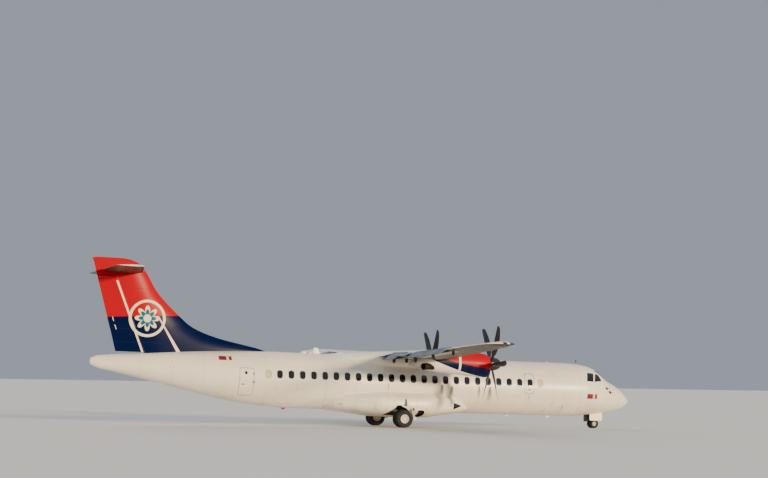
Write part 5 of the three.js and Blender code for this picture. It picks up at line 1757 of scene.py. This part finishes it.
def tyre_mesh(size):
    """A tyre with a rounded section and straight grooves round its tread."""
    radius, half, rim = size["radius"], size["width"] / 2, size["rim"]
    section = TYRE_SECTION + [(-across, up) for across, up in reversed(TYRE_SECTION)]
    profile = [(rim + up * (radius - rim), across * half) for across, up in section]
    return lathe(profile, turn("Z", 90), 96, RUBBER)


def rim_mesh(size):
    """One rim with its web, holes, hub cap and bolts, outboard towards +y."""
    rim, edge = size["rim"] - 0.001, size["width"] / 2 - 0.015
    profile = [(0, -edge), (rim * 0.92, -edge), (rim, 0.006 - edge), (rim, edge - 0.004)]
    profile += [(rim * share, edge + out) for share, out in RIM_SECTION]

    def eight(first, share, inner, outer, radius, finish, sides):
        """Eight bars in a ring round the hub."""
        spots = [turn("Y", (i + first) * 45) @ Vector((0, 0, rim * share)) for i in range(8)]
        return [bar(spot + Vector((0, edge + inner, 0)), spot + Vector((0, edge + outer, 0)), rim * radius,
                    finish, sides) for spot in spots]

    holes = eight(0, 0.68, -0.100, 0.050, 0.085, WELL_PRIMER_AND_SHADE, 20)
    bolts = eight(0.5, 0.54, -0.075, -0.036, 0.04, STEEL, 6)
    return join(cut(lathe(profile, turn("Z", 90), 96, WHEEL_PAINT), *holes), *bolts)


def place_wheels(body, size, station, y, rims, tyres):
    """A leg's two wheels on their axle, with the names of the rims and of the tyres from port."""
    hub = shift(at(station, y, ground_height(station, size["radius"])))
    half = size["spacing"] / 2
    rim = moved(rim_mesh(size), shift((0, half, 0)))
    pair = join(rim, moved(rim, MIRROR), cross_bar(ORIGIN, half, size["axle"], STEEL))
    place(rims, moved(pair, hub), "white_paint", [body], body)
    for tyre, sign in zip(tyres, (1, -1)):
        rubber = moved(tyre_mesh(size), hub @ shift((0, sign * half, 0)))
        place(f"{tyre}_rubber", rubber, "tyre", [tyre], body)


def build_wheels():
    place_wheels("main_wheels_left", MAIN_TYRE, MAIN_STATION, TRACK / 2, "main_rims_left",
                 ["main_tyre_outer_left", "main_tyre_inner_left"])
    place_wheels("main_wheels_right", MAIN_TYRE, MAIN_STATION, -TRACK / 2, "main_rims_right",
                 ["main_tyre_inner_right", "main_tyre_outer_right"])
    place_wheels("nose_wheels", NOSE_TYRE, NOSE_STATION, 0, "nose_rims",
                 ["nose_tyre_left", "nose_tyre_right"])


# Fittings on the airframe

# Aerial blades: station, foot, height, root, tip, half thickness
AERIAL_BLADES = [(16.20, 1.300, 0.28, 0.36, 0.20, 0.018), (7.60, 1.300, 0.17, 0.26, 0.13, 0.014),
                 (4.20, -1.300, -0.10, 0.24, 0.13, 0.014), (6.40, -1.300, -0.09, 0.22, 0.12, 0.014)]
# Covers of other aerials: station, foot, radius, height, length over width
AERIAL_COVERS = [(16.70, 1.306, 0.10, 0.06, 1.0), (17.02, 1.306, 0.12, 0.10, 1.3),
                 (15.17, 1.350, 0.16, 0.060, 1.6), (4.45, 1.306, 0.075, 0.04, 1.0)]
# Air data probes: station, height, reach. Static plates: station, height
PROBES = [(1.645, 0.10, 0.16), (1.445, -0.08, 0.13)]
STATIC_PLATES = [(5.00, -0.55), (4.88, -0.97), (13.2, -0.02), (10.48, 0.0), (8.58, 0.03), (8.02, -0.04),
                 (23.42, 0.42), (23.60, 0.42)]
# Lamps to port: name, station, y and height, direction, radius, depth. Then the one of the nose leg
LAMPS = [("landing_lamp", (9.86, 1.02, -1.235), (1, 0.1, -0.45), 0.085, 0.09),
         ("outlet_lamp", (11.80, 1.47, -1.39), (1, 1.4, -0.5), 0.070, 0.07)]
TAXI_LAMP = ((1.735, 0.125, -1.21), (1, 0, -0.06), 0.062, 0.075)
# Station and y of the points of a wiper's arm and rubber
WIPER_ARM = [(1.395, 0.10), (1.50, 0.20), (1.66, 0.30)]
WIPER_RUBBER = [(1.53, 0.34), (1.83, 0.24)]
# The outline of the door at the front of a wheel well
WELL_PANEL = [(12.66, -0.99), (12.62, -1.075), (12.45, -1.13), (12.30, -1.24), (12.20, -1.38), (12.13, -1.52),
              (12.09, -1.68), (11.80, -1.68), (11.80, -0.99)]


def both_sides(*meshes):
    """Bodies to port and their mirror images, as one mesh."""
    return gather([*meshes, *(moved(mesh, MIRROR) for mesh in meshes)])


def ball(centre, radius, finish):
    turns = [i / 8 * math.pi - math.pi / 2 for i in range(1, 8)]
    profile = [(0, -radius), *((radius * math.cos(a), radius * math.sin(a)) for a in turns), (0, radius)]
    return lathe(profile, shift(centre), 12, finish)


def tube(points, radius, finish):
    """A round rod or hose through a row of points."""
    pieces = [bar(start, end, radius, finish, 12) for start, end in zip(points, points[1:])]
    return join(*pieces, *(ball(point, radius, finish) for point in points[1:-1]))


def aerial_blade(station, foot, tall, root, tip, thick):
    """A swept blade. A negative tall one hangs under the belly."""
    rings = []
    for share, fullness in ((0, 1.0), (0.35, 0.95), (0.75, 0.8), (0.95, 0.6), (1.0, 0.3)):
        half = (root + (tip - root) * share) / 2
        middle = station + (root - tip) * 0.85 * share + half
        rings.append([at(middle - half * up, across * thick * fullness, foot + tall * share)
                      for across, up in squircle(20)])
    return loft(rings, ANTENNA_WHITE)


def dome(station, y, foot, radius, tall, finish, long=1.0):
    """A low round cover on the skin. A negative tall one is on the belly."""
    rings = []
    for rise in (i / 8 * math.pi / 2 for i in range(9)):
        reach = radius * max(math.cos(rise), 0.06)
        rings.append([at(station + long * reach * math.cos(a), y + reach * math.sin(a),
                         foot + tall * math.sin(rise)) for a in np.arange(24) / 24 * math.tau])
    base = [at(-point.x, point.y, foot - math.copysign(0.03, tall)) for point in rings[0]]
    return loft([base, *rings], finish)


def build_antennas():
    blades = [aerial_blade(*row) for row in AERIAL_BLADES]
    covers = [dome(station, 0, foot, radius, tall, ANTENNA_WHITE, long)
              for station, foot, radius, tall, long in AERIAL_COVERS]
    place("antennas", gather(blades + covers), "white_paint")
    top = skin_height(2.86)
    mast = bar(at(2.86, 0, top - 0.01), at(2.88, 0, top + 0.17), 0.007, DARK_FITTING, 12, 0.006)
    knob = dome(2.88, 0, top + 0.16, 0.042, 0.045, DARK_FITTING)
    place("small_masts", join(mast, knob), "dark_metal")
    beacon = dome(17.93, 0, skin_height(17.93, low=True) + 0.006, 0.085, -0.090, LAMP_RED, 1.3)
    small = dome(19.11, -0.62, skin_height(19.11, -0.62, low=True), 0.030, -0.02, LAMP_RED)
    place("beacon", gather([beacon, small]), "glass")


def build_probes():
    """The air data probes on the nose, and the round plates they and the static ports lie in."""
    probes, plates = [], []
    for sign in (1, -1):
        out = Vector((0.10, sign * 0.5, 0)).normalized()
        for station, height, reach in PROBES:
            foot = at(station, sign * skin_y(station, height), height)
            stem = foot + out * 0.085
            probes.append(tube([foot, stem, stem + Vector((reach, 0, 0))], 0.013, DARK_FITTING))
            plates.append(lathe([(0, -0.05), (0.085, -0.05), (0.080, 0.016), (0, 0.016)], facing(foot, out),
                                32, DARK_FITTING))
        for station, height in STATIC_PLATES:
            foot = at(station, sign * skin_y(station, height), height)
            plates.append(lathe([(0, -0.02), (0.024, -0.02), (0.022, 0.003), (0, 0.003)],
                                facing(foot, Vector((0, sign, 0))), 20, DARK_FITTING))
    place("air_data_probes", gather(probes), "metal")
    place("probe_plates", gather(plates), "dark_metal")


def build_wipers():
    for side, sign in SIDES:
        arm, rubber = ([at(station, sign * y, skin_height(station, y) + gap) for station, y in line]
                       for line, gap in ((WIPER_ARM, 0.022), (WIPER_RUBBER, 0.014)))
        wiper = join(tube(arm, 0.009, DARK_FITTING), bar(*rubber, 0.010, RUBBER, 8))
        place(f"wiper_{side}", wiper, "dark_metal")


def wick(foot):
    """A thin rod that sheds static from a trailing edge."""
    return bar(foot + Vector((0.02, 0, 0)), foot - Vector((0.11, 0, 0)), 0.0035, DARK_FITTING, 8, 0.002)


def build_wicks():
    wing_rows = [wing_row(y) for y in (10.6, 11.5, 12.4)]
    rods = [wick(at(leading + chord, y, height - chord * math.sin(WING_INCIDENCE) - 0.004))
            for y, leading, height, chord, _ in wing_rows]
    place_pair("aileron_wicks_{}", gather(rods), "dark_metal", body="aileron_{}")
    tail_rows = [tail_row(y) for y in (1.6, 2.4, 3.2)]
    rods = [wick(at(leading + chord, y, height)) for y, leading, height, chord, _ in tail_rows]
    place_pair("elevator_wicks_{}", gather(rods), "dark_metal", body="elevator_{}")
    rods = [wick(at(read_table(FIN, height, 3), 0, height)) for height in (2.2, 2.9, 3.6, 4.2)]
    place("rudder_wicks", gather(rods), "dark_metal", body="rudder")


def lamp(centre, direction, radius, depth):
    """A round lamp's steel case and its glass, which looks along a direction."""
    spot = facing(at(*centre), Vector(direction))
    case = lathe([(0, -depth), (radius * 0.6, -depth), (radius * 1.08, -depth * 0.3), (radius * 1.08, 0.004),
                  (radius * 0.94, 0.004), (radius * 0.94, -0.012), (0, -0.012)], spot, 32, STEEL)
    lens = lathe([(0, -0.010), (radius * 0.925, -0.010), (radius * 0.92, 0.0), (radius * 0.6, 0.008),
                  (0, 0.012)], spot, 32, LAMP_CLEAR)
    return case, lens


def build_lamps():
    for name, *settings in LAMPS:
        case, lens = lamp(*settings)
        place_pair(f"{name}_case_{{}}", case, "metal")
        place_pair(f"{name}_glass_{{}}", lens, "glass")
    case, lens = lamp(*TAXI_LAMP)
    place("taxi_lamp_cases", both_sides(case), "metal")
    place("taxi_lamp_glasses", both_sides(lens), "glass")
    tail = lathe([(0, -0.045), (0.030, -0.036), (0.052, -0.012), (0.055, 0.02), (0, 0.02)],
                 shift(at(TAIL_END - 0.01, 0, 0.568)), 24, LAMP_CLEAR)
    place("tail_lamp", tail, "glass")
    bullet = lathe([(0, -0.16), (0.030, -0.10), (0.052, 0.02), (0.040, 0.14), (0, 0.20)],
                   shift(at(25.05, 0.17, 4.80)), 24, ANTENNA_WHITE)
    place("tailplane_bullets", both_sides(bullet), "white_paint")


def build_well_panels():
    """The doors at the front of the wheel wells, with room for the legs, and the small struts on them."""
    y, low = TRACK / 2, ground_height(MAIN_STATION, MAIN_TYRE["radius"])
    leg_room = bar(at(12.06, y + 0.2, low - 0.1), at(12.13, 1.50, -0.80), 0.11, sides=40)
    panel = cut(common(gear_fairing(0.002), plate(WELL_PANEL, WELL_WALL + 0.005, OUTSIDE)),
                gear_fairing(0.024), skin_between(*GEAR_FAIRING_BAY, 0.001), leg_room)
    place_pair("well_panel_{}", refinished(panel, SKIN_PAINT), "white_paint")
    front = plate([(12.22, -1.04), (12.36, -0.71), (12.44, -0.70), (12.40, -1.04)], 1.86, 1.985,
                  ANTENNA_WHITE)
    # The strake's dark back is painted shade behind its white front.
    back = plate([(12.401, -1.04), (12.441, -0.71), (12.455, -0.71), (12.545, -1.04)], 1.865, 1.978,
                 DARK_FITTING)
    place_pair("well_strake_{}", join(front, back), "white_paint")


# Landing gear legs

WELL_ROOF = WHEEL_WELL[2][1]
# The main leg's collars: radius, share of the leg's length
LEG_COLLARS = [(0.062, 0.30), (0.072, 0.32), (0.072, 0.40), (0.062, 0.43), (0.062, 0.80), (0.076, 0.83)]
# The main leg's arm: station, height over the hub, half width, half height
ARM = [(12.07, 0.030, 0.058, 0.062), (12.25, 0.034, 0.052, 0.072), (12.45, 0.015, 0.050, 0.058),
       (12.64, 0, 0.055, 0.064)]
# The nose leg's barrel: radius, height
NOSE_BARREL = [(0.0505, -1.328), (0.074, -1.328), (0.078, -1.30), (0.078, -1.25), (0.072, -1.24),
               (0.072, -1.02), (0.082, -1.01), (0.082, -0.93), (0.072, -0.92), (0.072, NOSE_BAY[3] - 0.001),
               (0.0505, NOSE_BAY[3] - 0.001)]
# The foot of the yoke round the axle: ahead of the hub, above it, half width, half height
YOKE_FOOT = [(0.055, 0.022, 0.037, 0.052), (0, 0.030, 0.038, 0.066), (-0.055, 0.022, 0.037, 0.052)]
# The side of the small door behind the nose leg: station, height
DOOR_FLANGE = [(2.312, -0.965), (2.312, -1.555), (2.235, -1.555), (2.100, -1.400), (2.090, -1.250),
               (2.200, -0.965)]


def beam(rows, bend=0.6):
    """A forged beam through rows of a centre, a half width and a half height."""
    return loft([[centre + Vector((0, across * half, up * rise)) for across, up in squircle(24, bend)]
                 for centre, half, rise in rows], GEAR_PAINT)


def build_main_legs():
    y, hub_z = TRACK / 2, ground_height(MAIN_STATION, MAIN_TYRE["radius"])
    hub = at(MAIN_STATION, y, hub_z)
    foot, head = at(12.08, 2.03, hub_z + 0.04), at(12.12, 1.64, WELL_ROOF - 0.001)
    length = (head - foot).length
    collars = [(radius, length * share) for radius, share in LEG_COLLARS]
    leg = lathe([(0, -0.02), (0.060, -0.02), *collars, (0.076, length + 0.03), (0, length + 0.03)],
                facing(foot, head - foot), 40, GEAR_PAINT)
    leg = common(leg, block(11.5, 13.0, 1.0, 2.5, -2.2, WELL_ROOF - 0.0005, GEAR_PAINT))
    knuckle = cross_bar(at(12.08, y, hub_z + 0.035), 0.095, 0.074, GEAR_PAINT, 40)
    arm = beam([(at(station, y, hub_z + rise), half, tall) for station, rise, half, tall in ARM])
    boss = cross_bar(hub, 0.066, 0.088, GEAR_PAINT, 48)
    socket = cross_bar(hub, 0.2, 0.0435, STEEL, 32)
    low, high = at(12.33, y, hub_z + 0.05), at(12.16, 1.90, -1.18)
    reach = (high - low).length
    shock = lathe([(0, -0.02), (0.030, -0.02), (0.030, 0.05), (0.044, 0.06), (0.044, reach * 0.55),
                   (0.036, reach * 0.58), (0, reach * 0.58)], facing(low, high - low), 32, GEAR_PAINT)
    rod = bar(low.lerp(high, 0.5), high, 0.026, CHROME, 28)
    strut = cut(join(leg, knuckle, arm, boss, shock, rod, ball(high, 0.05, GEAR_PAINT)), socket)
    brakes, hoses = [], []
    for out in (1, -1):
        side = shift(hub + Vector((0, out * 0.0685, 0))) @ turn("Z", out * 90)
        disc = lathe([(0.100, 0), (0.165, 0.002), (0.168, 0.008), (0.165, 0.018), (0.100, 0.020)], side, 48,
                     BRAKE_STEEL)
        carrier = cross_bar(hub + Vector((0, out * 0.07325, 0)), 0.01325, 0.112, BRAKE_STEEL, 40)
        brakes += [disc, cut(carrier, socket)]
        line = [(12.19, 1.70, -1.03), (12.19, 1.88, -1.30), (12.17, 2.00, hub_z + 0.12),
                (12.40, y + out * 0.020, hub_z + 0.10), (12.60, y + out * 0.040, hub_z + 0.115)]
        hoses.append(tube([at(*spot) for spot in line], 0.009, RUBBER))
    place_pair("main_gear_strut_{}", strut, "metal", ["main_gear_leg_{}"])
    place_pair("main_gear_brakes_{}", gather(brakes), "dark_metal")
    place_pair("main_gear_hoses_{}", gather(hoses), "dark_metal")


def build_nose_leg():
    station = NOSE_STATION
    hub = at(station, 0, ground_height(station, NOSE_TYRE["radius"]))
    upright = shift(at(station, 0, 0)) @ turn("Y", -90)
    barrel = lathe(NOSE_BARREL, upright, 48, GEAR_PAINT)
    room = bar(at(station, 0, -1.4), at(station, 0, -1.04), 0.0505, STEEL, 32)
    _, bay_end, _, roof = NOSE_BAY
    brace = common(bar(at(station + 0.02, 0, -1.15), at(bay_end + 0.05, 0, -0.885), 0.032, GEAR_PAINT, 28),
                   block(1.0, bay_end - 0.001, -0.3, 0.3, -1.6, roof, GEAR_PAINT))
    # The small door behind the nose leg and its flanges are dark as painted shade.
    flange = plate(DOOR_FLANGE, 0.140, 0.155, WELL_PRIMER_AND_SHADE)
    rear_door = join(block(2.292, 2.312, -0.155, 0.155, -1.555, -0.965, WELL_PRIMER_AND_SHADE), flange,
                     moved(flange, MIRROR))
    yoke = block(1.78, 1.86, -0.15, 0.15, -1.235, -1.185, GEAR_PAINT)
    leg = join(cut(join(barrel, brace, yoke), room), rear_door)
    place("nose_gear_barrel", leg, "metal", ["nose_gear_leg"])

    piston = bar(at(station, 0, -1.062), hub + Vector((0, 0, 0.03)), 0.0485, CHROME, 40)
    collar = lathe([(0.04, -1.400), (0.080, -1.400), (0.080, -1.345), (0.04, -1.345)], upright, 40,
                   GEAR_PAINT)
    foot = beam([(hub + Vector((ahead, 0, up)), half, tall) for ahead, up, half, tall in YOKE_FOOT], 0.45)
    knee = at(station + 0.185, 0, -1.470)
    links = [beam([(start, half, 0.016), (start.lerp(knee, 0.5), half * 0.7, 0.012),
                   (knee, 0.020, 0.015)], 0.5)
             for start, half in ((at(station + 0.072, 0, -1.372), 0.045),
                                 (at(station + 0.05, 0, hub.z + 0.055), 0.034))]
    boss = cross_bar(hub, 0.038, 0.052, GEAR_PAINT, 40)
    pin = cross_bar(knee, 0.030, 0.011, STEEL, 16)
    fork = cut(join(piston, collar, foot, boss, *links, pin), cross_bar(hub, 0.1, 0.0255, STEEL, 28))
    place("nose_gear_yoke", fork, "metal", ["nose_gear_fork"], "nose_gear_fork")

    door = cut(side_prism(1.88, -1.26, 0.68, 0.46, 0.07, 1, 0.353, 0.369, SKIN_PAINT),
               skin_between(0.9, 3.1, 0.001))
    arms = [tube([at(spot, 0.340, -1.12), at(spot, 0.352, -1.26)], 0.010, STEEL) for spot in (1.68, 2.08)]
    place_pair("nose_gear_door_{}_panel", largest(door), "white_paint", ["nose_gear_door_{}"])
    place_pair("nose_gear_door_{}_arms", gather(arms), "metal")


# Camera, floor and lights. Angles are in degrees

CAMERA_PLACE = (-27.895, -84.284, 2.102)
CAMERA_YAW = 18.639
CAMERA_PITCH = 4.45
CAMERA_ROLL = -0.929
LENS = 86.42
FLOOR_REACH = 1500
# Lights: name, direction, strength, angular size, colour
LIGHTS = [
    ("key", (-0.45, 0.88, -0.14), 5.2, 6.5, (1.0, 0.78, 0.50)),
    ("fill", (0.55, 0.45, -0.65), 0.45, 60, (0.82, 0.90, 1.0)),
    ("back", (0.20, -0.85, -0.50), 1.5, 50, (1.0, 0.97, 0.92)),
]


def set_camera():
    lens = bpy.data.cameras.new("camera")
    lens.lens = LENS
    lens.sensor_width = 36
    lens.clip_start = 1
    lens.clip_end = 4000
    camera = link("camera", lens)
    camera.matrix_world = (shift(CAMERA_PLACE) @ turn("Z", -CAMERA_YAW) @ turn("X", 90 + CAMERA_PITCH)
                           @ turn("Z", -CAMERA_ROLL))
    bpy.context.scene.camera = camera


def set_stage():
    mesh = bpy.data.meshes.new("floor")
    corners = [(FLOOR_REACH * x, FLOOR_REACH * y, 0) for x, y in ((-1, -1), (1, -1), (1, 1), (-1, 1))]
    mesh.from_pydata(corners, [], [(0, 1, 2, 3)])
    finish = plain_finish("Floor", "e6e4df", 0.9, 0.15, 0.006, bump=0.0, Specular_IOR_Level=0.0)
    mesh.materials.append(finish)
    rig.stage(link("floor", mesh))

    world = bpy.data.worlds.new("studio")
    bpy.context.scene.world = world
    world.use_nodes = True
    background = world.node_tree.nodes["Background"].inputs
    background["Color"].default_value = srgb("d3dcea")
    background["Strength"].default_value = 0.50

    for name, direction, strength, size, colour in LIGHTS:
        light = bpy.data.lights.new(name, "SUN")
        light.energy = strength
        light.angle = math.radians(size)
        light.color = colour
        link(name, light).rotation_euler = Vector(direction).to_track_quat("-Z", "Y").to_euler()


set_camera()
set_stage()
build_fuselage()
build_wing()
build_fin()
build_tailplane()
build_fairings()
build_nacelles()
build_propellers()
build_wheels()
build_main_legs()
build_nose_leg()
build_antennas()
build_probes()
build_wipers()
build_wicks()
build_lamps()
build_well_panels()

visual_box = [list(corner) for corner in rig.bounds()]
with open("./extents.json", "w") as record:
    json.dump({"cad": cad_box, "visual": visual_box}, record)
